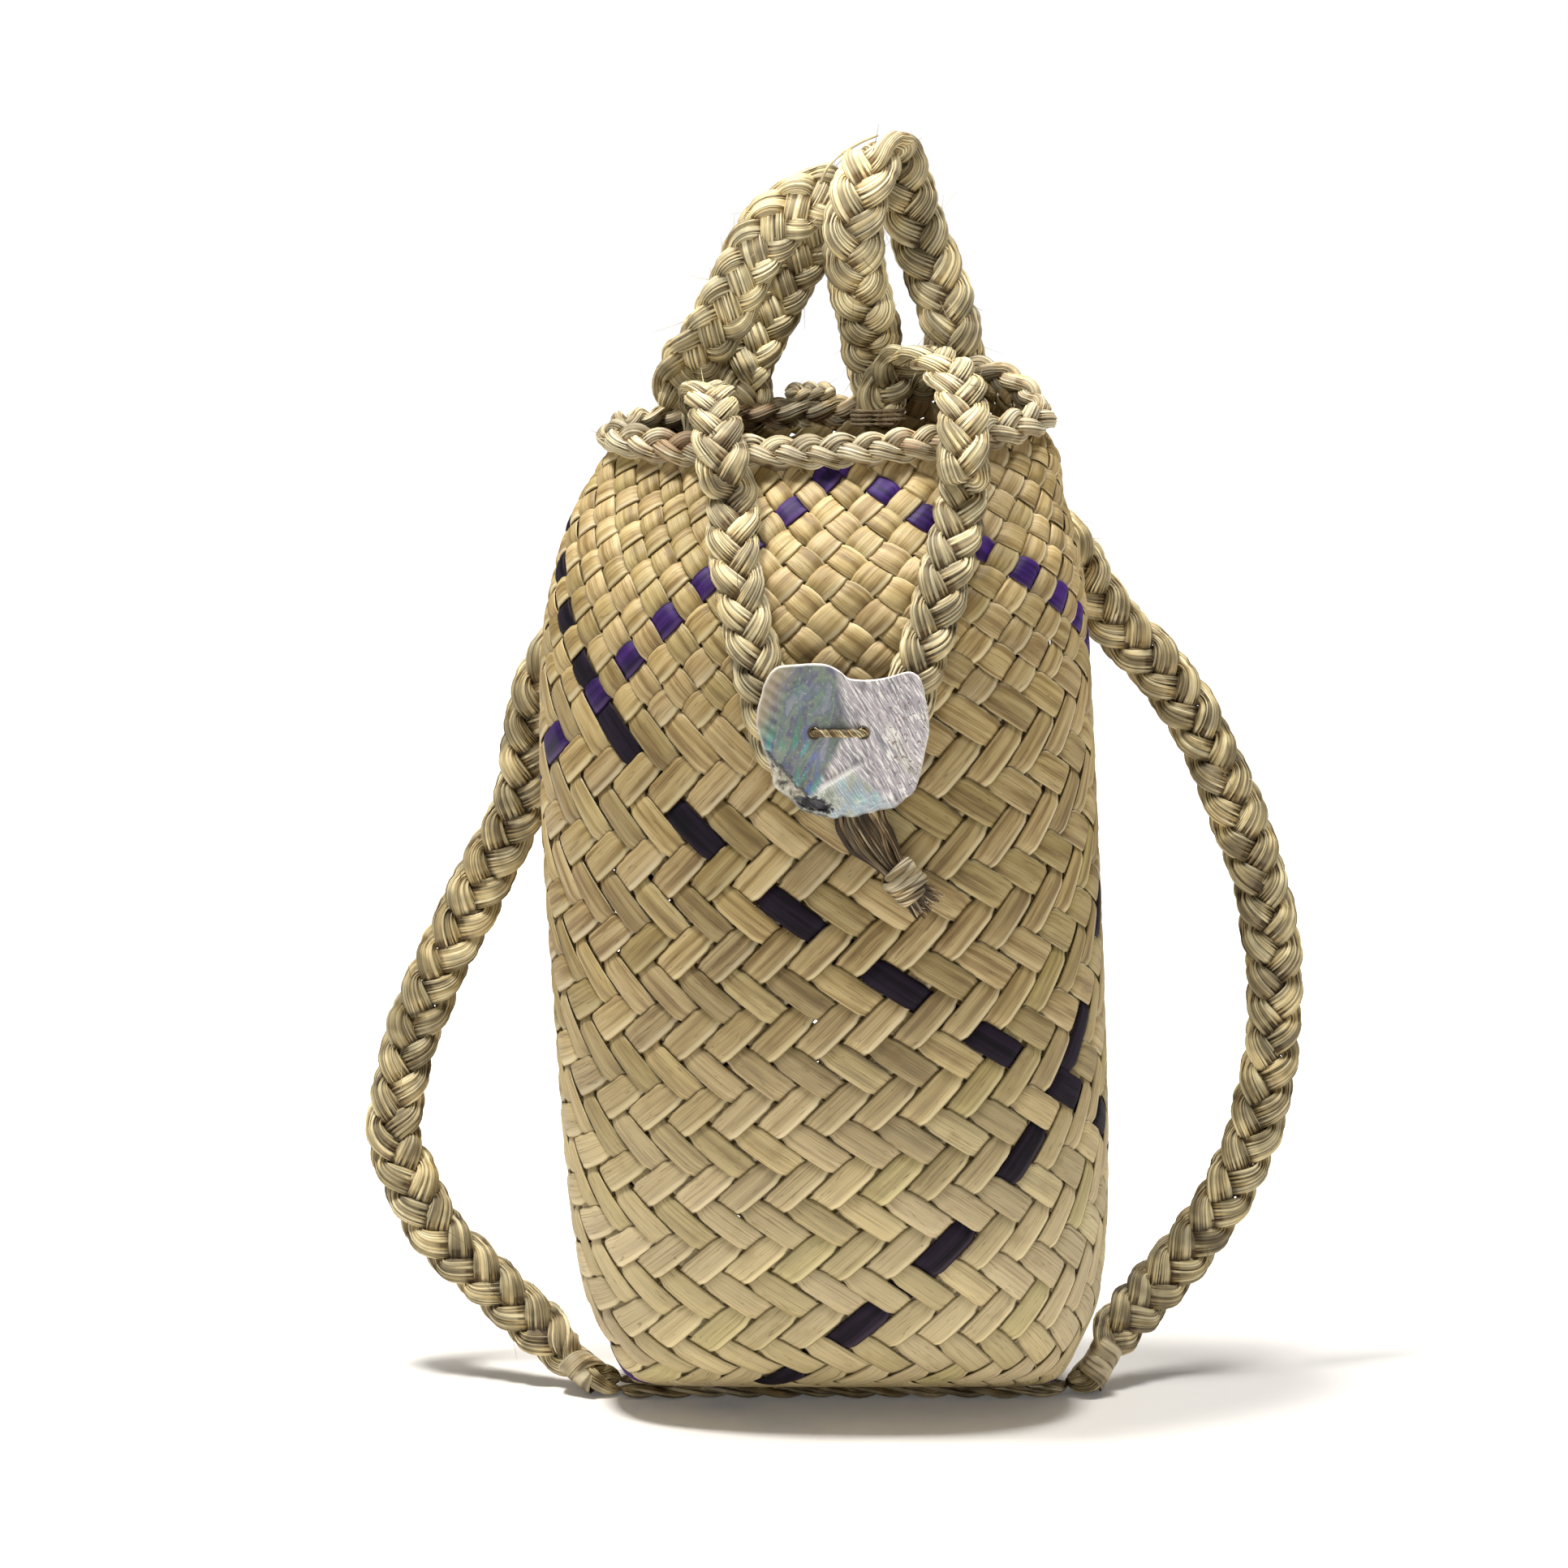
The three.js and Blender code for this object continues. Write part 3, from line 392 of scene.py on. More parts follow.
@dataclass
class Track:
    """Places along a path, with the ways that a plait lies at each."""

    run: Array
    place: Array
    along: Array
    wide: Array
    flat: Array
    closed: bool = False

    @classmethod
    def lay(cls, line: Line, step: float, facing: Way | None = None,
            across: Way | None = None) -> "Track":
        """Lays a track on a line.

        Args:
            line: the path.
            step: the distance between places.
            facing: the way that the flat side looks, from the share of the path and the place.
            across: the way that the width lies, used where facing isn't given.

        Returns:
            The track.
        """
        count = max(4, round(line.length / step))
        run = np.arange(count if line.closed else count + 1) / count * line.length
        near = 0.4
        ahead = (run + near) % line.length if line.closed else np.minimum(run + near, line.length)
        behind = (run - near) % line.length if line.closed else np.maximum(run - near, 0)
        place, along = line.at(run), unit(line.at(ahead) - line.at(behind))
        given = np.array([(facing or across)(s / line.length, p) for s, p in zip(run, place)])
        given = square_to(given, along)
        other = np.cross(along, given) if facing else np.cross(given, along)
        wide, flat = (unit(other), given) if facing else (given, unit(other))
        return cls(run, place, along, wide, flat, line.closed)

    @property
    def length(self) -> float:
        """The track's whole length, in millimetres."""
        return float(self.run[-1] + (self.run[1] - self.run[0] if self.closed else 0))

    def finer(self, step: float) -> "Track":
        """Returns the same track with places closer together.

        Args:
            step: the distance between places.

        Returns:
            The finer track.
        """
        run, place, along, wide, flat = self.run, self.place, self.along, self.wide, self.flat
        if self.closed:
            run = np.append(run, self.length)
            place, along, wide, flat = (np.concatenate([a, a[:1]]) for a in (place, along, wide, flat))
        count = max(4, round(self.length / step))
        target = np.arange(count if self.closed else count + 1) / count * self.length
        place, along, wide, flat = (between(target, run, a) for a in (place, along, wide, flat))
        along = unit(along)
        return Track(target, place, along, unit(wide), square_to(flat, along), self.closed)


class MeshBag:
    """Collects grids of points as one mesh, with a UV map and values that its material reads."""

    def __init__(self) -> None:
        """Starts with nothing in it."""
        self.points: list[Array] = []
        self.faces: list[list[int]] = []
        self.uvs: list[Array] = []
        self.values: list[Array] = []
        self.count = 0

    def add_tube(self, rings: Array, uv_across: Array, uv_along: Array, tone: float | Array,
                 closed: bool = False) -> None:
        """Adds a tube.

        Args:
            rings: points as rows along the tube and columns round it.
            uv_across: UV across at each column, with one more for the seam.
            uv_along: UV along at each row, with one more for a closed tube.
            tone: a value from 0 to 1 for the tube, or for each row of it.
            closed: whether the last ring joins the first.
        """
        rows, columns = rings.shape[:2]
        nxt = np.roll(rings, -1, axis=1)
        down = np.roll(rings, -1, axis=0)
        middle = rings.mean(axis=1, keepdims=True)
        outwards = rings[:-1] - middle[:-1]
        volume = np.einsum("ijk,ijk->", outwards, np.cross((nxt - rings)[:-1], (down - rings)[:-1]))
        if volume < 0:
            rings = rings[:, ::-1]
            uv_across = uv_across[::-1]
        last = rows if closed else rows - 1
        i, j = np.meshgrid(np.arange(last), np.arange(columns), indexing="ij")
        i2, j2 = (i + 1) % rows, (j + 1) % columns
        corner = [i * columns + j, i * columns + j2, i2 * columns + j2, i2 * columns + j]
        quads = np.stack(corner, axis=-1).reshape(-1, 4) + self.count
        self.faces.extend(quads.tolist())
        u0, u1 = uv_across[j], uv_across[j + 1]
        v0, v1 = uv_along[i], uv_along[i + 1]
        uv = np.stack([np.stack(pair, -1) for pair in ((u0, v0), (u1, v0), (u1, v1), (u0, v1))], -2)
        self.uvs.append(uv.reshape(-1, 2))
        if not closed:
            for row, flip in ((0, True), (rows - 1, False)):
                ring = (row * columns + np.arange(columns) + self.count).tolist()
                self.faces.append(ring[::-1] if flip else ring)
                flat = np.stack([uv_across[:columns], np.full(columns, uv_along[row])], -1)
                self.uvs.append(flat[::-1] if flip else flat)
        self.points.append(rings.reshape(-1, 3))
        self.values.append(np.repeat(np.broadcast_to(tone, rows), columns))
        self.count += rows * columns

    def build(self, name: str, material: bpy.types.Material) -> bpy.types.Object:
        """Makes one object of the collected tubes.

        Args:
            name: the object's name.
            material: its material.

        Returns:
            The object, smooth-shaded and at the origin.
        """
        mesh = bpy.data.meshes.new(name)
        mesh.from_pydata((np.concatenate(self.points) * MM).tolist(), [], self.faces)
        layer = mesh.uv_layers.new(name="Lay")
        layer.data.foreach_set("uv", np.concatenate(self.uvs).astype(np.float32).ravel())
        tone = mesh.attributes.new("tone", "FLOAT", "POINT")
        tone.data.foreach_set("value", np.concatenate(self.values).astype(np.float32))
        mesh.polygons.foreach_set("use_smooth", np.ones(len(mesh.polygons), dtype=bool))
        mesh.materials.append(material)
        mesh.update()
        piece = bpy.data.objects.new(name, mesh)
        bpy.context.scene.collection.objects.link(piece)
        LOG.info("%s: %d faces", name, len(mesh.polygons))
        return piece


def settle(piece: bpy.types.Object, body: str, slot: str, *nodes: str) -> None:
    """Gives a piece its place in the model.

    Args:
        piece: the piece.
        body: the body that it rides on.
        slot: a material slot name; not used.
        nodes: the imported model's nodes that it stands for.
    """
    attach(piece, body)
    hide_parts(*nodes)


@dataclass(frozen=True)
class Strand:
    """A bundle of fibres: half sizes in millimetres, how many ridges show round it, and its turn."""

    half_wide: float
    half_thick: float
    fibres: int = 14
    groove: float = 0.13
    twist: float = 0.004
    squareness: float = 2.2
    shag: float = 0.07

    RIDGE = np.array([0.0, 0.32, 0.74])
    RIDGE_RISE = (-1.0, 0.25, 0.25)
    SWAY_EVERY = 26.0
    PUFF_EVERY = 13.0
    MM_TO_UV = 100
    UV_TO_STRAND = 64

    def lay(self, bag: MeshBag, track: Track, rng: Rng, number: int, tone: float | Array,
            grow: Array | None = None, spread: Array | None = None) -> None:
        """Adds the bundle along a track.

        Args:
            bag: the mesh that takes it.
            track: the bundle's middle line and ways.
            rng: its seeded random numbers.
            number: the bundle's own number, which keeps its fibres' tones apart.
            tone: the bundle's tone from 0 to 1, or one for each place: 0 is where it is hidden, which the fibre
                finishes paint in shade, and near 1 they paint a highlight.
            grow: how much of the full size it has at each place.
            spread: how much of the full width it has at each place; where narrow it is thicker.
        """
        run, count = track.run, self.fibres
        widths = rng.uniform(0.5, 1.6, count)
        edges = np.append(0, np.cumsum(widths)) / widths.sum()
        base = (edges[:-1, None] + np.diff(edges)[:, None] * self.RIDGE).ravel() * 2 * math.pi
        turn = 2 * math.pi * self.twist * run * (0 if track.closed else 1)
        sway = wander(rng, run, self.SWAY_EVERY, count) * 0.30 / count * 2 * math.pi
        fade = np.sin(math.pi * np.clip(run / track.length, 0, 1))[:, None] ** 0.5 if track.closed else 1.0
        angle = base[None, :] + turn[:, None] + np.repeat(sway * fade, 3, axis=1)
        depth = np.repeat(2.4 * rng.uniform(0, 1, count) ** 2, 3) * self.groove
        uneven = np.repeat(rng.normal(0, 0.35, count), 3) * self.groove
        valley = 1 + depth * np.tile(self.RIDGE_RISE, count) + uneven
        puff = 1 + np.repeat(wander(rng, run, self.PUFF_EVERY, count) * fade, 3, axis=1) * self.shag
        c, s = np.cos(angle), np.sin(angle)
        power = 2 / self.squareness
        size = np.ones(len(run)) if grow is None else grow
        radius = valley[None, :] * puff * size[:, None]
        flatness = np.ones((len(run), 1)) if spread is None else spread[:, None]
        across = signed_power(c, power) * self.half_wide * radius * flatness
        through = signed_power(s, power) * self.half_thick * radius / flatness**0.4
        rings = (track.place[:, None] + track.wide[:, None] * across[..., None]
                 + track.flat[:, None] * through[..., None])
        v = np.append(run, track.length) / self.MM_TO_UV
        u = np.append((np.arange(count)[:, None] + self.RIDGE).ravel(), count) + self.UV_TO_STRAND * number
        bag.add_tube(rings, u, v, tone, track.closed)


@dataclass(frozen=True)
class Plait:
    """A flat plait of bundles.

    Its width, thickness and the length of one full turn are in millimetres. Each bundle rises and
    dives as often in a turn as there are waves: two for three bundles, three for four.
    """

    width: float
    thickness: float
    turn: float
    strand: Strand
    step: float = 1.7
    strands: int = 3
    waves: int = 2
    edge: float = 0.56

    WOBBLE_EVERY = 17.0
    GROW_EVERY = 19.0
    TAPER = 4.0

    def lay(self, bag: MeshBag, track: Track, rng: Rng,
            narrow: Callable[[Array], Array] | None = None, start: float = 0.0) -> None:
        """Adds the plait along a track.

        Args:
            bag: the mesh that takes it.
            track: the plait's middle line and ways.
            rng: its seeded random numbers.
            narrow: the share of the full width at each share of the track.
            start: where in its turn the plait starts, from 0 to 1.
        """
        fine = track.finer(self.step)
        turns = track.length / self.turn
        turns = round(turns) if track.closed else turns
        share = fine.run / track.length
        width = np.ones(len(share)) if narrow is None else narrow(share)
        sideways = (self.width / 2 - self.strand.half_wide * self.edge) * width
        through = self.thickness / 2 - self.strand.half_thick
        for k in range(self.strands):
            phase = 2 * math.pi * (share * turns + k / self.strands + start)
            x = sideways * np.cos(phase)
            y = -through * np.sin(self.waves * phase)
            # bulge is 1 where the bundle rides on top and 0 where it dives under; as its tone it sets the painted shade
            # and highlight.
            bulge = np.clip(np.abs(np.sin(self.waves * phase)) + 0.45 * np.abs(np.cos(phase)), 0, 1)
            spread = self.edge + (1 - self.edge) * np.abs(np.sin(phase)) ** 0.7
            wobble = wander(rng, fine.run, self.WOBBLE_EVERY, 2) * 0.4
            if track.closed:
                wobble *= np.sin(math.pi * share)[:, None]
            centre = (fine.place + fine.wide * (x + wobble[:, 0])[:, None]
                      + fine.flat * (y + wobble[:, 1] * 0.6)[:, None])
            ahead, behind = np.roll(centre, -1, axis=0), np.roll(centre, 1, axis=0)
            if not track.closed:
                ahead[-1], behind[0] = centre[-1], centre[0]
            along = unit(ahead - behind)
            wide = unit(np.cross(fine.flat, along))
            flat = np.cross(along, wide)
            strand_track = Track(fine.run, centre, along, wide, flat, track.closed)
            grow = (0.5 + 0.5 * width) * (1 + wander(rng, fine.run, self.GROW_EVERY)[:, 0] * 0.06)
            if not track.closed:
                ends = np.minimum(fine.run, track.length - fine.run)
                grow = grow * (0.55 + 0.45 * np.sqrt(np.clip(ends / self.TAPER, 0, 1)))
            self.strand.lay(bag, strand_track, rng, k + 5 * int(rng.integers(1, 9)), bulge, grow, spread)


# Materials


class NodeSheet:
    """Builds the nodes of one procedural material."""

    def __init__(self, name: str) -> None:
        """Makes the material with one shader, which finish feeds.

        Args:
            name: the material's name.
        """
        self.material = bpy.data.materials.new(name)
        self.material.use_nodes = True
        self.tree = self.material.node_tree
        self.tree.nodes.clear()
        output = self.tree.nodes.new("ShaderNodeOutputMaterial")
        self.shader = self.tree.nodes.new("ShaderNodeBsdfPrincipled")
        self.tree.links.new(self.shader.outputs["BSDF"], output.inputs["Surface"])

    def feed(self, socket: Socket, value: Value) -> None:
        """Links a socket to another one, or gives it a plain value.

        Args:
            socket: the input that is fed.
            value: an output, a number, or a colour without its alpha.
        """
        if isinstance(value, Socket):
            self.tree.links.new(value, socket)
        elif isinstance(value, tuple) and len(value) == 3 and socket.type == "RGBA":
            socket.default_value = (*value, 1.0)
        else:
            socket.default_value = value

    def node(self, kind: str, inputs: dict[str | int, Value] | None = None, **settings: str | bool) -> bpy.types.Node:
        """Makes a node.

        Args:
            kind: its type, without the words ShaderNode.
            inputs: what feeds its inputs.
            settings: its settings by name.

        Returns:
            The node.
        """
        node = self.tree.nodes.new(f"ShaderNode{kind}")
        for key, setting in settings.items():
            setattr(node, key, setting)
        for key, value in (inputs or {}).items():
            self.feed(node.inputs[key], value)
        return node

    def math(self, operation: str, *values: Value) -> Socket:
        """Returns the result of a sum that is done with values."""
        return self.node("Math", dict(enumerate(values)), operation=operation).outputs[0]

    def times(self, *values: Value) -> Value:
        """Returns the product of values."""
        return reduce(partial(self.math, "MULTIPLY"), values)

    def plus(self, *values: Value) -> Value:
        """Returns the values' sum."""
        return reduce(partial(self.math, "ADD"), values)

    def minus(self, first: Value, second: Value) -> Socket:
        """Returns the first value less the second one."""
        return self.math("SUBTRACT", first, second)

    def apart(self, value: Value, middle: float) -> Socket:
        """Returns how far a value is from a middle one."""
        return self.math("ABSOLUTE", self.minus(value, middle))

    def distance(self, x: Value, y: Value) -> Socket:
        """Returns the length of the slope that two sides make."""
        return self.math("SQRT", self.plus(self.times(x, x), self.times(y, y)))

    def eased(self, value: Value, low: float, high: float, start: float = 0.0, end: float = 1.0) -> Socket:
        """Returns a value eased from start to end as another one goes from low to high, which may be lower."""
        inputs = {"Value": value, "From Min": low, "From Max": high, "To Min": start, "To Max": end}
        return self.node("MapRange", inputs, interpolation_type="SMOOTHSTEP").outputs[0]

    def blend(self, share: Value, first: Value, second: Value, way: str = "MIX") -> Socket:
        """Returns the first colour with a share of the second one blended in."""
        inputs = {0: share, 6: first, 7: second}
        return self.node("Mix", inputs, data_type="RGBA", blend_type=way, clamp_factor=True).outputs[2]

    def paint(self, colour: Value, *coats: tuple[Value, Value]) -> Value:
        """Returns a colour under coats of other ones.

        Args:
            colour: the ground.
            coats: each one's share and colour, from the lowest.

        Returns:
            The painted colour.
        """
        for share, coat in coats:
            colour = self.blend(share, colour, coat)
        return colour

    def ramp(self, value: Value, stops: Sequence[tuple[float, Point]]) -> Socket:
        """Returns the colour at a value on a ramp.

        Args:
            value: the place on the ramp.
            stops: the ramp's places and colours, rising.

        Returns:
            The colour.
        """
        node = self.tree.nodes.new("ShaderNodeValToRGB")
        elements = node.color_ramp.elements
        while len(elements) < len(stops):
            elements.new(0.5)
        for element, (place, colour) in zip(elements, stops):
            element.position = place
            element.color = (*colour, 1.0)
        self.feed(node.inputs[0], value)
        return node.outputs[0]

    def vector(self, x: Value, y: Value, z: Value = 0.0) -> Socket:
        """Returns a vector made of three values."""
        return self.node("CombineXYZ", {"X": x, "Y": y, "Z": z}).outputs[0]

    def split(self, vector: Socket) -> list[Socket]:
        """Returns the three values of a vector."""
        return list(self.node("SeparateXYZ", {"Vector": vector}).outputs)

    def noise(self, vector: Value, scale: float, detail: float = 3.0, rough: float = 0.5) -> Socket:
        """Returns a noise value near 0.5."""
        inputs = {"Vector": vector, "Scale": scale, "Detail": detail, "Roughness": rough, "Distortion": 0.0}
        return self.node("TexNoise", inputs).outputs[0]

    def streaks(self, x: Value, y: Value, scales: tuple[float, float], z: Value = 0.0, detail: float = 3.0,
                rough: float = 0.5) -> Socket:
        """Returns noise that is drawn out one way, by a scale for x and another for y."""
        return self.noise(self.vector(self.times(x, scales[0]), self.times(y, scales[1]), z), 1.0, detail, rough)

    def chance(self, value: Value) -> Socket:
        """Returns a random value from 0 to 1 that depends on a vector."""
        return self.node("TexWhiteNoise", {"Vector": value}).outputs["Value"]

    def lay(self) -> list[Socket]:
        """Returns the values across and along a piece, from its own UV map."""
        return self.split(self.node("UVMap", uv_map="Lay").outputs[0])

    def tone(self) -> Socket:
        """Returns the value that the piece's mesh carries."""
        return self.node("Attribute", attribute_name="tone").outputs["Fac"]

    def where(self) -> Socket:
        """Returns a point's place in the object's frame, in metres, as a vector."""
        return self.node("TexCoord").outputs["Object"]

    def bump(self, height: Value, strength: float, distance: float) -> Socket:
        """Returns normals raised by a height."""
        return self.node("Bump", {"Height": height, "Strength": strength, "Distance": distance}).outputs[0]

    def finish(self, **inputs: Value) -> bpy.types.Material:
        """Feeds the shader.

        Args:
            inputs: what feeds its inputs, each named with underscores.

        Returns:
            The material.
        """
        for key, value in inputs.items():
            self.feed(self.shader.inputs[key.replace("_", " ")], value)
        return self.material


@dataclass(frozen=True)
class LeafFinish:
    """Split leaf strips: satin, with fine lengthwise fibres, pale cut edges under a painted highlight, and painted
    shade round the belly.
    """

    name: str
    light: Point
    middle: Point
    dark: Point
    edge: Point
    low: Point
    crack: Point = (0.13, 0.075, 0.03)
    low_share: float = 0.75
    streak: float = 0.6
    roughness: float = 0.42
    shine: float = 0.45

    def material(self) -> bpy.types.Material:
        """Makes the material.

        Returns:
            The material.
        """
        sheet = NodeSheet(self.name)
        u, v, _ = sheet.lay()
        tone, z = sheet.tone(), sheet.split(sheet.where())[2]
        seed = sheet.times(tone, 91.0)
        fine = sheet.streaks(u, v, (30.0, 1.3), seed, 3.0, 0.6)
        line = sheet.streaks(u, v, (13.0, 3.2), seed, 1.0, 0.4)
        broad = sheet.streaks(u, v, (4.0, 2.4), seed, 2.0)
        patch = sheet.streaks(u, v, (1.2, 9.0), seed)
        rim = sheet.plus(sheet.apart(u, 0.5), sheet.times(fine, 0.05))
        colour = sheet.paint(
            sheet.ramp(sheet.eased(broad, 0.3, 0.7), [(0.0, self.dark), (0.4, self.middle), (1.0, self.light)]),
            (sheet.eased(z, 0.21, 0.05, 0.0, self.low_share), self.low),
            (sheet.eased(fine, 0.5, 0.68, 0.0, self.streak), self.dark),
            (sheet.eased(fine, 0.46, 0.3, 0.0, 0.5), self.light),
            (sheet.eased(sheet.apart(line, 0.56), 0.022, 0.0, 0.0, self.streak), self.crack),
            (sheet.eased(patch, 0.56, 0.8, 0.0, 0.4), self.dark),
            # Pale edges: the cut edges' own paler colour with a painted highlight on it.
            (sheet.eased(rim, 0.465, 0.51, 0.0, 0.75), self.edge))
        # Painted shade: a darker band round the belly at mid height, taken off each strip's own tone.
        belly = sheet.eased(sheet.apart(z, 0.21), 0.15, 0.03, 0.0, 0.17)
        shade = sheet.minus(sheet.plus(0.80, sheet.times(tone, 0.34)), belly)
        warm = sheet.minus(shade, sheet.times(sheet.chance(tone), 0.16))
        colour = sheet.blend(1.0, colour, sheet.vector(shade, shade, warm), "MULTIPLY")
        rough = sheet.plus(self.roughness, sheet.times(fine, 0.22))
        height = sheet.plus(fine, sheet.times(broad, 0.8))
        return sheet.finish(Base_Color=colour, Roughness=rough, Normal=sheet.bump(height, 0.4, 0.0006),
                            Specular_IOR_Level=self.shine)


@dataclass(frozen=True)
class FibreFinish:
    """Bundles of shredded leaf fibre: every ridge has its own tone, with painted shade in the lines between and where a
    bundle dives under, and a painted highlight where it rides on top.
    """

    name: str
    tones: tuple[Point, ...]
    # gap is the colour of painted shade: between fibres, in their grooves and where a bundle dives under.
    gap: Point
    mould: Point
    mould_share: float = 0.5
    roughness: float = 0.5
    # How much painted shade is laid where a bundle dives under its neighbours.
    hidden_shade_share: float = 0.92

    def material(self) -> bpy.types.Material:
        """Makes the material.

        Returns:
            The material.
        """
        sheet = NodeSheet(self.name)
        u, v, _ = sheet.lay()
        tone, where = sheet.tone(), sheet.where()
        ridge = sheet.math("FLOOR", u)
        own = sheet.chance(sheet.vector(ridge, 3.0, 1.0))
        slow = sheet.streaks(ridge, v, (5.1, 6.0), detail=2.0)
        fine = sheet.streaks(u, v, (3.1, 2.2), rough=0.65)
        pick = sheet.plus(sheet.times(own, 0.45), sheet.times(sheet.eased(slow, 0.3, 0.66), 0.55))
        last = len(self.tones) - 1
        side = sheet.apart(sheet.minus(u, ridge), 0.5)
        deep = sheet.chance(sheet.vector(sheet.math("ROUND", u), 5.0, 2.0))
        colour = sheet.paint(
            sheet.ramp(sheet.eased(pick, 0.2, 0.8), [(k / last, step) for k, step in enumerate(self.tones)]),
            # Painted shade: dark lines between fibres.
            (sheet.eased(fine, 0.53, 0.63, 0.0, 0.8), self.gap),
            (sheet.eased(fine, 0.44, 0.3, 0.0, 0.6), self.tones[-1]),
            # Painted shade in the grooves at each ridge's sides.
            (sheet.times(sheet.eased(side, 0.18, 0.40), sheet.eased(deep, 0.1, 0.6, 0.1, 1.0)), self.gap),
            # Painted shade where the bundle dives under its neighbours, and a painted highlight where it rides on top.
            (sheet.eased(tone, 0.6, 0.05, 0.0, self.hidden_shade_share), self.gap),
            (sheet.eased(tone, 0.65, 1.0, 0.0, 0.26), self.tones[-1]))
        uneven = sheet.eased(sheet.noise(where, 75.0, 2.0), 0.35, 0.65, 0.62, 1.18)
        colour = sheet.blend(1.0, colour, sheet.vector(uneven, uneven, uneven), "MULTIPLY")
        patch = sheet.eased(sheet.noise(where, 30.0, 3.0, 0.6), 0.57, 0.66)
        mouldy = sheet.times(patch, sheet.eased(fine, 0.3, 0.6, 0.5, 1.0), self.mould_share)
        colour = sheet.blend(mouldy, colour, self.mould)
        rough = sheet.plus(self.roughness, sheet.times(fine, 0.25))
        return sheet.finish(Base_Color=colour, Roughness=rough, Normal=sheet.bump(fine, 0.6, 0.0007),
                            Specular_IOR_Level=0.38)


class ShellSheet(NodeSheet):
    """A node sheet that measures in millimetres from the shell's stitch."""

    def __init__(self, name: str, stitch: Point) -> None:
        """Makes the material, its measures and the grain that its parts share.

        Args:
            name: the material's name.
            stitch: the middle of the shell's stitch, in millimetres.
        """
        super().__init__(name)
        x, _, z = self.split(self.where())
        self.across = self.times(self.minus(x, stitch[0] * MM), 1 / MM)
        self.up = self.times(self.minus(z, stitch[2] * MM), 1 / MM)
        self.warp = self.grain(0.0, 0.05)
        self.rising = self.plus(self.slope(1.0, -0.42), self.times(self.warp, 7.0))
        self.falling = self.plus(self.slope(1.0, 0.62), self.times(self.warp, 5.0))
        self.speckle = self.grain(3.0, 0.9, 3.0, 0.7)

    def slope(self, a: float, b: float, c: float = 0.0) -> Socket:
        """Returns a * across + b * up + c."""
        return self.plus(self.times(self.across, a), self.times(self.up, b), c)

    def grain(self, seed: float, scale: float, detail: float = 3.0, rough: float = 0.5) -> Socket:
        """Returns noise over the shell's face, which differs by its seed."""
        return self.noise(self.vector(self.across, self.up, seed), scale, detail, rough)


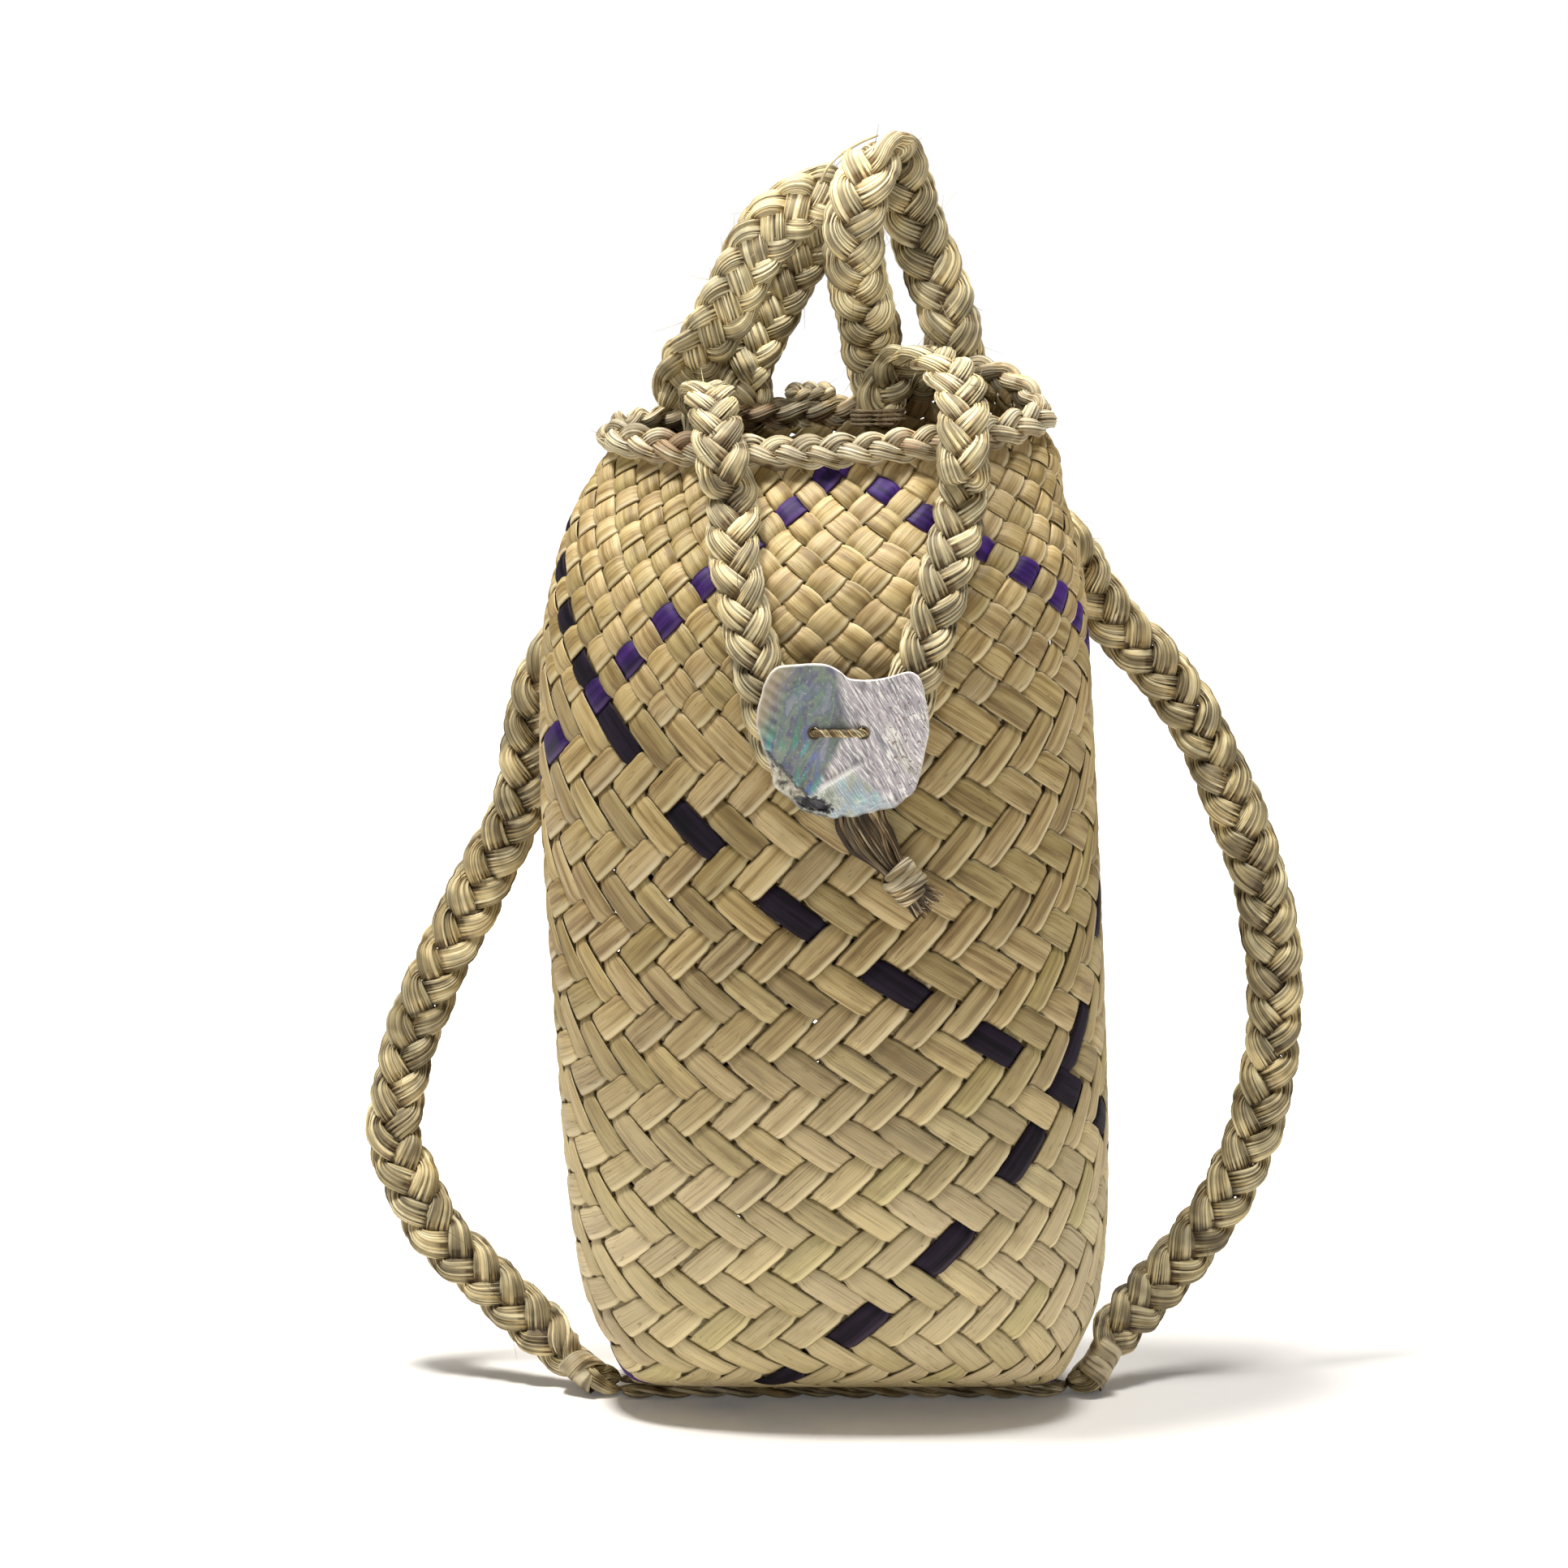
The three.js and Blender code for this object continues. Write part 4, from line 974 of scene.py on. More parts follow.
@dataclass(frozen=True)
class ShellFinish:
    """Sea shell: smooth blue-grey streaks on the left, silvery ridges on the right with partly painted highlights, a
    chalky edge, and painted shade in its step and pit.
    """

    name: str
    stitch: Point
    roughness: float = 0.26
    hole_reach: float = 9.3

    STREAKS = ((0.30, (0.07, 0.09, 0.09)), (0.40, (0.16, 0.19, 0.17)), (0.46, (0.11, 0.11, 0.19)),
               (0.52, (0.20, 0.25, 0.19)), (0.58, (0.13, 0.17, 0.19)), (0.64, (0.24, 0.25, 0.31)),
               (0.74, (0.30, 0.32, 0.27)))
    PLAY = ((0.38, (0.05, 0.30, 0.17)), (0.5, (0.09, 0.33, 0.33)), (0.58, (0.11, 0.13, 0.40)))
    SILVER = ((0.32, (0.26, 0.27, 0.30)), (0.45, (0.44, 0.41, 0.46)), (0.55, (0.52, 0.48, 0.53)),
              (0.64, (0.56, 0.53, 0.50)), (0.75, (0.42, 0.43, 0.45)))
    LOWER = ((0.3, (0.20, 0.26, 0.20)), (0.45, (0.42, 0.46, 0.38)), (0.56, (0.36, 0.45, 0.55)),
             (0.66, (0.33, 0.52, 0.52)), (0.8, (0.62, 0.62, 0.58)))
    BROKEN = ((0.36, (0.06, 0.06, 0.05)), (0.5, (0.40, 0.38, 0.30)), (0.62, (0.66, 0.64, 0.56)))

    def left(self, sheet: ShellSheet) -> tuple[Value, Socket]:
        """Colours the smooth left part, with its play of green and blue.

        Args:
            sheet: the shell's nodes.

        Returns:
            The colour and the streaks.
        """
        along = sheet.slope(0.42, 1.0)
        streaks = sheet.streaks(sheet.rising, along, (0.13, 0.05))
        play = sheet.streaks(sheet.rising, along, (0.26, 0.06), 7.0, 2.0)
        hue = sheet.streaks(sheet.rising, along, (0.22, 0.05), 5.0, 1.0)
        glow = sheet.times(sheet.eased(play, 0.50, 0.62), sheet.eased(sheet.up, 8.0, -8.0, 0.2, 0.8),
                           sheet.eased(sheet.across, 0.0, -8.0))
        colour = sheet.paint(
            sheet.ramp(streaks, self.STREAKS), (glow, sheet.ramp(hue, self.PLAY)),
            (sheet.eased(sheet.speckle, 0.56, 0.72, 0.0, 0.45), (0.55, 0.58, 0.54)))
        return colour, streaks

    def right(self, sheet: ShellSheet) -> tuple[Value, Socket]:
        """Colours the ridged right part, with its scratches, whose white lines are partly painted highlight, and brown
        specks.

        Args:
            sheet: the shell's nodes.

        Returns:
            The colour and the scratches.
        """
        band = sheet.streaks(sheet.falling, sheet.across, (0.16, 0.05), 4.0)
        scratch = sheet.streaks(sheet.falling, sheet.slope(-0.62, 1.0), (1.25, 0.12), 6.0, 2.0, 0.55)
        specks = sheet.times(sheet.eased(sheet.grain(9.0, 0.7, 2.0, 0.6), 0.60, 0.66),
                             sheet.eased(sheet.across, 8.0, 28.0, 0.15, 0.9))
        colour = sheet.paint(
            sheet.ramp(band, self.SILVER),
            # White scratch lines: partly painted highlight on the ridges.
            (sheet.eased(scratch, 0.52, 0.60, 0.0, 0.9), (0.93, 0.92, 0.90)),
            (sheet.eased(scratch, 0.46, 0.36, 0.0, 0.75), (0.17, 0.16, 0.19)),
            (specks, (0.17, 0.09, 0.06)))
        return colour, scratch

    def flaws(self, sheet: ShellSheet, colour: Value) -> Value:
        """Colours the lower part, the painted highlight on the ridge, the brown side, the broken step with painted
        shade along it, the pit in painted shade and the holes.

        Args:
            sheet: the shell's nodes.
            colour: the colour so far.

        Returns:
            The colour with them on it.
        """
        across, up = sheet.across, sheet.up
        lower = sheet.noise(sheet.vector(sheet.times(across, 1.6), up, 2.0), 0.10)
        lower_colour = sheet.blend(sheet.eased(sheet.speckle, 0.55, 0.7, 0.0, 0.6), sheet.ramp(lower, self.LOWER),
                                   (0.85, 0.88, 0.86))
        turn = sheet.times(sheet.math("MAXIMUM", sheet.minus(across, 5.0), 0.0), 1.5)
        below = sheet.plus(sheet.slope(-0.625, 1.0, 17.0), turn)
        ridge = sheet.slope(0.848, 0.53, 18.4)
        # Painted highlight: a white line along the top of the ridge.
        crest_highlight = sheet.times(sheet.eased(sheet.math("ABSOLUTE", sheet.slope(-0.53, 0.848, 14.4)), 1.7, 0.3),
                            sheet.eased(ridge, -1.0, 3.0), sheet.eased(ridge, 21.0, 13.0), 0.8)
        brown = sheet.times(sheet.eased(sheet.rising, -21.0, -30.0), sheet.eased(up, -8.0, 6.0), 0.75)
        chips = sheet.grain(2.5, 0.35, 3.0, 0.6)
        step = sheet.plus(sheet.slope(0.727, 0.687, 25.1), sheet.times(sheet.minus(chips, 0.5), 5.0))
        within = sheet.times(sheet.eased(up, -2.0, -6.0), sheet.eased(across, -6.0, -10.0))
        pit = sheet.plus(sheet.distance(sheet.slope(0.18, 0.06, 3.3), sheet.slope(0.05, 0.40, 11.4)),
                         sheet.times(sheet.grain(8.0, 0.45, 2.0, 0.6), 2.2))
        hole = sheet.distance(sheet.minus(sheet.math("ABSOLUTE", across), self.hole_reach), up)
        return sheet.paint(
            colour,
            (sheet.eased(below, 1.0, -1.5, 0.0, 0.85), lower_colour),
            (crest_highlight, (0.88, 0.88, 0.86)),
            (brown, (0.42, 0.33, 0.22)),
            (sheet.times(sheet.eased(step, 0.0, -0.6), within), sheet.ramp(chips, self.BROKEN)),
            # Painted shade: a near-black line along the broken step.
            (sheet.times(sheet.eased(sheet.math("ABSOLUTE", step), 1.0, 0.3), within), (0.03, 0.035, 0.03)),
            # Painted shade filling the pit.
            (sheet.eased(pit, 2.3, 2.0), (0.03, 0.03, 0.035)),
            (sheet.eased(hole, 3.1, 2.3, 0.0, 0.9), (0.03, 0.022, 0.015)))

    def material(self) -> bpy.types.Material:
        """Makes the material.

        Returns:
            The material.
        """
        sheet = ShellSheet(self.name, self.stitch)
        left, streaks = self.left(sheet)
        right, scratch = self.right(sheet)
        bend = sheet.plus(sheet.times(sheet.minus(sheet.up, 21.0), 0.18),
                          sheet.times(sheet.math("MINIMUM", sheet.up, 0.0), -0.75))
        share = sheet.eased(sheet.plus(sheet.across, bend, sheet.times(sheet.warp, 5.0)), 0.2, 4.2)
        colour = self.flaws(sheet, sheet.blend(share, left, right))
        chalk = sheet.tone()
        colour = sheet.blend(1.0, colour, (1.32, 1.30, 1.26), "MULTIPLY")
        colour = sheet.blend(sheet.times(chalk, 0.8), colour, (0.84, 0.82, 0.74))
        height = sheet.plus(sheet.times(scratch, share, 2.2), sheet.times(streaks, 0.6),
                            sheet.times(sheet.speckle, 0.25))
        rough = sheet.plus(self.roughness, sheet.times(chalk, 0.45))
        return sheet.finish(Base_Color=colour, Roughness=rough, Normal=sheet.bump(height, 0.5, 0.0006),
                            Specular_IOR_Level=0.6, Coat_Weight=0.12, Coat_Roughness=0.15)


class Palette:
    """The finishes of the bag, each made once."""

    def __init__(self, stitch: Point) -> None:
        """Makes every material.

        Args:
            stitch: the middle of the shell's stitch, in millimetres.
        """
        self.straw = LeafFinish(
            "leaf_straw", light=(0.66, 0.51, 0.27), middle=(0.51, 0.365, 0.16), dark=(0.28, 0.18, 0.068),
            edge=(0.82, 0.70, 0.46), low=(0.66, 0.56, 0.37)).material()
        self.green = LeafFinish(
            "leaf_green", light=(0.64, 0.51, 0.25), middle=(0.50, 0.37, 0.15), dark=(0.27, 0.185, 0.07),
            edge=(0.80, 0.69, 0.44), low=(0.65, 0.57, 0.345)).material()
        self.purple = LeafFinish(
            "leaf_purple", light=(0.080, 0.020, 0.22), middle=(0.038, 0.008, 0.125), dark=(0.016, 0.005, 0.052),
            edge=(0.12, 0.06, 0.21), low=(0.06, 0.02, 0.15), crack=(0.02, 0.01, 0.05), low_share=0.2, streak=0.4,
            shine=0.3).material()
        self.black = LeafFinish(
            "leaf_black", light=(0.026, 0.015, 0.034), middle=(0.011, 0.007, 0.015), dark=(0.005, 0.004, 0.007),
            edge=(0.05, 0.04, 0.055), low=(0.012, 0.009, 0.015), crack=(0.004, 0.003, 0.006), low_share=0.2,
            streak=0.4, roughness=0.5, shine=0.14).material()
        self.fibre = FibreFinish(
            "fibre_straw",
            ((0.14, 0.088, 0.033), (0.43, 0.31, 0.13), (0.63, 0.475, 0.21), (0.79, 0.63, 0.32), (0.92, 0.80, 0.49)),
            gap=(0.070, 0.042, 0.016), mould=(0.070, 0.050, 0.032), mould_share=0.6).material()
        self.pale = FibreFinish(
            "fibre_pale",
            ((0.18, 0.11, 0.04), (0.52, 0.385, 0.17), (0.74, 0.57, 0.27), (0.88, 0.72, 0.38), (0.94, 0.83, 0.52)),
            gap=(0.095, 0.055, 0.020), mould=(0.120, 0.085, 0.050), mould_share=0.25).material()
        self.leafy = FibreFinish(
            "leaf_plait",
            ((0.40, 0.29, 0.13), (0.52, 0.40, 0.20), (0.62, 0.50, 0.29), (0.72, 0.61, 0.38), (0.80, 0.70, 0.47)),
            gap=(0.17, 0.11, 0.05), mould=(0.10, 0.075, 0.05), mould_share=0.3, roughness=0.45,
            hidden_shade_share=0.35).material()
        self.brown = FibreFinish(
            "fibre_brown",
            ((0.18, 0.11, 0.045), (0.40, 0.28, 0.12), (0.56, 0.43, 0.22), (0.67, 0.54, 0.31), (0.80, 0.71, 0.48)),
            gap=(0.055, 0.03, 0.012), mould=(0.26, 0.13, 0.055), mould_share=0.6).material()
        self.tail = FibreFinish(
            "fibre_tail",
            ((0.12, 0.07, 0.03), (0.27, 0.17, 0.08), (0.42, 0.29, 0.14), (0.54, 0.40, 0.22), (0.70, 0.57, 0.36)),
            gap=(0.035, 0.02, 0.008), mould=(0.12, 0.065, 0.03), mould_share=0.5).material()
        self.twine = FibreFinish(
            "twine", ((0.30, 0.19, 0.09), (0.44, 0.30, 0.15), (0.56, 0.41, 0.23), (0.66, 0.52, 0.33)),
            gap=(0.14, 0.075, 0.03), mould=(0.10, 0.06, 0.03), mould_share=0.2, roughness=0.6).material()
        self.shell = ShellFinish("shell", stitch).material()


# The woven body


class Dye(Enum):
    """What a leaf strip was dyed with."""

    NATURAL = "straw"
    GREEN = "green"
    PURPLE = "purple"
    BLACK = "black"


class WeaveGround:
    """The body's surface as strips lie on it: cells round it, and rows down from its mouth.

    A cell is half the spacing of neighbouring strips, and rising and falling strips cross at whole
    rows. Cells and rows drift in size round the body, as they do on a bag woven by hand.
    """

    COLUMNS = 248
    LEVELS = 240
    SECTIONS = 160
    ROW_SCALE = 48.0
    FRONT = 0.7695
    AROUND = ((-0.0958, -0.0483), (0.105, 0.0764), (0.0822, -0.0136), (-0.1193, 0.136))
    DOWN = (-0.0021, 0.8557, 0.3239, -0.5641, 0.2673)
    RISE = ((-0.1314, 0.0351), (-0.081, -0.0416), (-0.0111, 0.0052))

    def __init__(self, form: BodyForm, strips: int) -> None:
        """Lays the ground.

        Args:
            form: the body's form.
            strips: how many strips run each way.
        """
        heights = np.linspace(form.rim_height + 4.0, form.seam_height, self.SECTIONS)
        rings = [form.ring(form.section_at(z), self.COLUMNS) for z in heights]
        seam = form.section_at(form.seam_height)
        rings.append(form.ring((seam[0] - 0.6, seam[1] * 0.985, seam[2] * 0.6, seam[3], seam[4]), self.COLUMNS))
        rings = np.array(rings)
        steps = np.linalg.norm(np.diff(rings, axis=0), axis=2)
        run = np.concatenate([np.zeros((1, self.COLUMNS)), np.cumsum(steps, axis=0)])
        shares = np.linspace(0, 1, self.LEVELS)
        self.points = np.empty((self.LEVELS, self.COLUMNS, 3))
        for column in range(self.COLUMNS):
            for k in range(3):
                self.points[:, column, k] = np.interp(shares * run[-1, column], run[:, column], rings[:, column, k])
        around = np.roll(self.points, -1, axis=1) - np.roll(self.points, 1, axis=1)
        self.normals = unit(np.cross(around, -np.gradient(self.points, axis=0)))
        self.cells = 2 * strips

    def lie(self, cell: Array, row: Array) -> tuple[Array, Array]:
        """Returns where cells and rows lie.

        Args:
            cell: cells round the body.
            row: rows down it.

        Returns:
            The shares of the way round and of the way down.
        """
        h = row / self.ROW_SCALE
        turn = 2 * math.pi * cell / self.cells
        waves = (np.sin(turn), np.cos(turn), np.sin(2 * turn), np.cos(2 * turn))
        drift = sum((level + slope * h) * wave for (level, slope), wave in zip(self.AROUND, waves))
        around = self.FRONT + cell / self.cells + drift / (2 * math.pi)
        down = sum(value * h**k for k, value in enumerate(self.DOWN))
        waves = (1 - np.cos(turn), np.sin(turn), 1 - np.cos(2 * turn))
        rise = sum((level + slope * h) * wave for (level, slope), wave in zip(self.RISE, waves))
        return around, down + rise * h * (1.05 - h)

    def place(self, cell: Array, row: Array, off: Array) -> Array:
        """Returns points near the body.

        Args:
            cell: cells round the body.
            row: rows down it.
            off: how far off its surface.

        Returns:
            The points.
        """
        around, down = self.lie(cell, row)
        column = (around % 1.0) * self.COLUMNS
        c0 = np.floor(column).astype(int) % self.COLUMNS
        c1 = (c0 + 1) % self.COLUMNS
        fc = (column - np.floor(column))[..., None]
        level = np.clip(down, 0, 1) * (self.LEVELS - 1)
        k0 = np.clip(np.floor(level).astype(int), 0, self.LEVELS - 2)
        fd = (level - k0)[..., None]

        def pick(grid: Array) -> Array:
            """Returns a grid's values at the points, between its columns and levels."""
            upper, lower = (grid[k, c0] * (1 - fc) + grid[k, c1] * fc for k in (k0, k0 + 1))
            return upper * (1 - fd) + lower * fd

        return pick(self.points) + unit(pick(self.normals)) * off[..., None]


@dataclass(frozen=True)
class Weave:
    """Leaf strips woven on the bias: over one and under one high up, over two and under two below."""

    strips: int = 33
    twill_row: float = 13.0
    relief: float = 1.12
    crown: float = 0.62
    thickness: float = 0.55
    inset: float = 1.75
    steps: int = 7
    rising_dyes: dict[int, Dye] = field(default_factory=dict)
    falling_dyes: dict[int, Dye] = field(default_factory=dict)

    ACROSS = np.array([-1.0, -0.84, -0.42, 0.0, 0.42, 0.84, 1.0, 0.84, -0.84])
    UPPER = np.array([0.0, 0.5, 0.5, 0.5, 0.5, 0.5, 0.0, -0.5, -0.5])
    UV_ACROSS = np.array([0.0, 0.08, 0.29, 0.5, 0.71, 0.92, 1.0, 0.92, 0.08, 0.0])
    ROWS = (-3, 62)
    OPENS = (11, 15)
    MIDDLE = 3

    def over(self, row: Array) -> Array:
        """Returns 1 where the rising strips lie over the falling ones at whole rows, and -1 where under."""
        plain, twill = np.mod(row, 2) == 1, np.mod(row, 4) < 2
        return np.where(np.where(row < self.twill_row, plain, twill), 1.0, -1.0)

    def lift(self, row: Array) -> Array:
        """Returns the rising strips' height between -1 and 1 at any row."""
        low, share = np.floor(row), smooth_step(0.2, 0.8, row - np.floor(row))
        return self.over(low) * (1 - share) + self.over(low + 1) * share

    def lay_strip(self, bag: MeshBag, ground: WeaveGround, index: int, rising: bool, rng: Rng) -> None:
        """Adds one strip from the mouth to the seam.

        Args:
            bag: the mesh that takes it.
            ground: the surface that it lies on.
            index: its number.
            rising: whether it is a rising one.
            rng: its seeded random numbers.
        """
        way = 1 if rising else -1
        row = np.arange(*self.ROWS, 1 / self.steps)
        down = ground.lie(2 * index - way * row, row)[1]
        row = row[(down > 0) & (down < 1)]
        cell = 2 * index - way * row
        height = way * self.lift(row)
        own = 1 + wander(rng, row, 9.0)[:, 0] * 0.035 + rng.uniform(-0.035, 0.005)
        sway = wander(rng, row, 7.0)[:, 0] * 0.045
        curl = wander(rng, row, 4.0, 2) * 0.2
        close = 1 - smooth_step(*self.OPENS, row)
        half = 0.5 * own * (0.985 + 0.03 * close - (0.14 - 0.03 * close) * (1 - height**2))
        share = self.ACROSS[None, :] * half[:, None] + sway[:, None]
        crown = self.crown * (1 - self.ACROSS**2)
        bow = np.where(self.ACROSS < 0, curl[:, :1], curl[:, 1:]) * self.ACROSS**2
        off = (self.relief * height[:, None] + crown[None, :] * (0.35 + 0.65 * np.clip(height, 0, 1))[:, None]
               + bow + self.UPPER[None, :] * self.thickness - self.inset)
        points = ground.place(cell[:, None] + way * share, row[:, None] + share, off)
        length = run_along(points[:, self.MIDDLE])
        v = np.append(length, length[-1]) / Strand.MM_TO_UV + rng.uniform(0, 5)
        bag.add_tube(points, self.UV_ACROSS, v, float(rng.uniform(0, 1)))

    def make(self, form: BodyForm, palette: Palette) -> None:
        """Makes the strips, one object for each dye and each way.

        Args:
            form: the body's form.
            palette: the bag's finishes.
        """
        ground = WeaveGround(form, self.strips)
        bags: dict[tuple[Dye, bool], MeshBag] = {}
        for rising in (True, False):
            dyes = self.rising_dyes if rising else self.falling_dyes
            rng = np.random.default_rng(31 if rising else 47)
            for index in range(self.strips):
                dye = dyes.get(index, Dye.NATURAL)
                self.lay_strip(bags.setdefault((dye, rising), MeshBag()), ground, index, rising, rng)
        for (dye, rising), bag in bags.items():
            name = f"strips_{dye.value}_{'rising' if rising else 'falling'}"
            settle(bag.build(name, getattr(palette, dye.value)), "bag", "woven_flax", "woven_body")


# Plaits, ties and wraps


@dataclass(frozen=True)
class Winding:
    """A cord or strip wound round a flat-oval core."""

    turns: float
    pitch: float
    half_wide: float
    half_thick: float
    gap: float
    fibres: int = 6
    twist: float = 0.0

    STEPS = 28
    FLOOR = 0.3

    def lay(self, bag: MeshBag, path: Track, k: int, core: tuple[float, float], rng: Rng, number: int) -> None:
        """Adds the winding.

        Args:
            bag: the mesh that takes it.
            path: the core's middle line and ways.
            k: which of the line's places it lies at.
            core: the core's width and thickness.
            rng: its seeded random numbers.
            number: its number, which keeps its fibres' tones apart.
        """
        place, along, wide, flat = path.place[k], path.along[k], path.wide[k], path.flat[k]
        count = round(self.STEPS * self.turns) + 1
        angle = np.linspace(0, 2 * math.pi * self.turns, count) + 0.9
        c, s = np.cos(angle), np.sin(angle)
        reach = self.gap + self.half_thick
        a = signed_power(c, 0.8) * (core[0] / 2 + reach)
        b = signed_power(s, 0.8) * (core[1] / 2 + reach)
        shift = (angle - angle.mean()) / (2 * math.pi) * self.pitch + wander(rng, angle, 1.4)[:, 0] * self.pitch * 0.07
        middle = place + wide * a[:, None] + flat * b[:, None] + along * shift[:, None]
        outward = unit(wide * (a / (core[0] / 2 + 1))[:, None] + flat * (b / (core[1] / 2 + 1))[:, None])
        heading = unit(np.gradient(middle, axis=0))
        outward = square_to(outward, heading)
        across = np.cross(outward, heading)
        lowest = middle[:, 2] - np.abs(across[:, 2]) * self.half_wide - np.abs(outward[:, 2]) * self.half_thick
        middle[:, 2] += np.maximum(0, self.FLOOR - lowest)
        track = Track(run_along(middle), middle, heading, across, outward)
        ends = np.minimum(np.arange(count), np.arange(count)[::-1])
        grow = 0.4 + 0.6 * np.sqrt(np.clip(ends / 3, 0, 1))
        strand = Strand(self.half_wide, self.half_thick, self.fibres, groove=0.12, twist=self.twist, squareness=2.4,
                        shag=0.06)
        strand.lay(bag, track, rng, number, float(rng.uniform(0, 1)), grow)


def lay_hairs(bag: MeshBag, track: Track, reach: tuple[float, float], count: int, length: float, rng: Rng) -> None:
    """Adds loose fibres that stand off a plait.

    Args:
        bag: the mesh that takes them.
        track: the plait's middle line and ways.
        reach: the plait's half width and half thickness.
        count: how many hairs.
        length: a hair's usual length in millimetres.
        rng: their seeded random numbers.
    """
    for number in range(count):
        k = int(rng.integers(4, len(track.run) - 4))
        angle = rng.uniform(0, 2 * math.pi)
        side = track.wide[k] * math.cos(angle) * reach[0] * 0.9 + track.flat[k] * math.sin(angle) * reach[1] * 0.8
        start = track.place[k] + side
        out = unit(side)
        way = unit(track.along[k] * rng.choice([-1.0, 1.0]) + out * rng.uniform(0.1, 0.8) + rng.normal(0, 0.25, 3))
        size = length * rng.uniform(0.35, 1.25)
        t = np.linspace(0, 1, 7)[:, None]
        bend = unit(rng.normal(0, 1, 3)) * size * rng.uniform(0.05, 0.3)
        middle = start + way * size * t + bend * t**2 - out * 1.2 * (1 - t)
        heading = unit(np.gradient(middle, axis=0))
        wide = unit(np.cross(heading, out + 0.01))
        flat = np.cross(heading, wide)
        turn = np.array([0.0, 2.1, 4.2])
        size_at = HAIR_RADIUS * (1 - 0.75 * t[:, 0])
        rings = (middle[:, None] + wide[:, None] * (np.cos(turn)[None, :] * size_at[:, None])[..., None]
                 + flat[:, None] * (np.sin(turn)[None, :] * size_at[:, None])[..., None])
        rings[..., 2] = np.maximum(rings[..., 2], 0.2)
        u = np.array([0.3, 0.4, 0.5, 0.6]) + 7 * number
        bag.add_tube(rings, u, t[:, 0] * 0.2, float(rng.uniform(0, 1)))


@dataclass(frozen=True)
class Rim:
    """The plait round the mouth, and its spare end over the back."""

    line: RimLine
    plait: Plait = Plait(13.0, 9.6, 35.0, Strand(3.5, 2.6, fibres=16, groove=0.15, twist=0.003), step=1.3, edge=0.7)
    tail: Plait = Plait(9.0, 6.0, 17.0, Strand(2.3, 1.7, fibres=8, groove=0.14), step=1.0, edge=0.7)

    CORNERS = 44
    TAIL_TURNS = (0.244, 0.256, 0.268, 0.28)

    def make(self, palette: Palette) -> None:
        """Makes the rim plait and its tail.

        Args:
            palette: the bag's finishes.
        """
        rng = np.random.default_rng(5)
        corners = [self.line.point(i / self.CORNERS) for i in range(self.CORNERS)]

        def outward(share: float, _: Array) -> Array:
            """Returns the way that the plait's flat side looks: out of the mouth and up."""
            return self.line.ways(share)[1] * -0.75 + np.array([0, 0, 0.65])

        bag = MeshBag()
        track = Track.lay(Line(corners, closed=True), 4.0, facing=outward)
        self.plait.lay(bag, track, rng)
        lay_hairs(bag, track, (6.0, 5.0), count=46, length=13.0, rng=rng)
        settle(bag.build("rim_plait_fibres", palette.brown), "bag", "brown_plait", "rim_plait")
        up = (self.line.thickness + 5.5) / 2 + 1.7 * self.line.form.clearance
        places = [self.line.point(turn, up) for turn in self.TAIL_TURNS]
        bag = MeshBag()
        track = Track.lay(Line(places), 3.0, facing=lambda share, _: np.array([0, -0.5, 0.85]))
        self.tail.lay(bag, track, rng)
        lay_hairs(bag, track.finer(0.8), (4.0, 2.5), count=12, length=9.0, rng=rng)
        settle(bag.build("rim_tail_fibres", palette.brown), "bag", "brown_plait", "rim_plait_tail")


@dataclass(frozen=True)
class Base:
    """The plaited seam that the bag stands on."""

    half: float = 87.5
    thickness: float = 5.2
    plait: Plait = Plait(24.0, 5.1, 44.0, Strand(6.4, 1.3, fibres=7, groove=0.06, twist=0.0, squareness=2.8, shag=0.03),
                         step=2.0)

    def make(self, palette: Palette) -> None:
        """Makes the seam.

        Args:
            palette: the bag's finishes.
        """
        rng = np.random.default_rng(9)
        bag = MeshBag()
        z = self.thickness / 2
        line = Line([np.array([x, 0.0, z]) for x in np.linspace(-self.half, self.half, 9)])
        self.plait.lay(bag, Track.lay(line, 6.0, facing=lambda share, _: np.array([0.0, 0.0, 1.0])), rng)
        settle(bag.build("base_plait_strips", palette.leafy), "bag", "woven_flax", "base_plait")


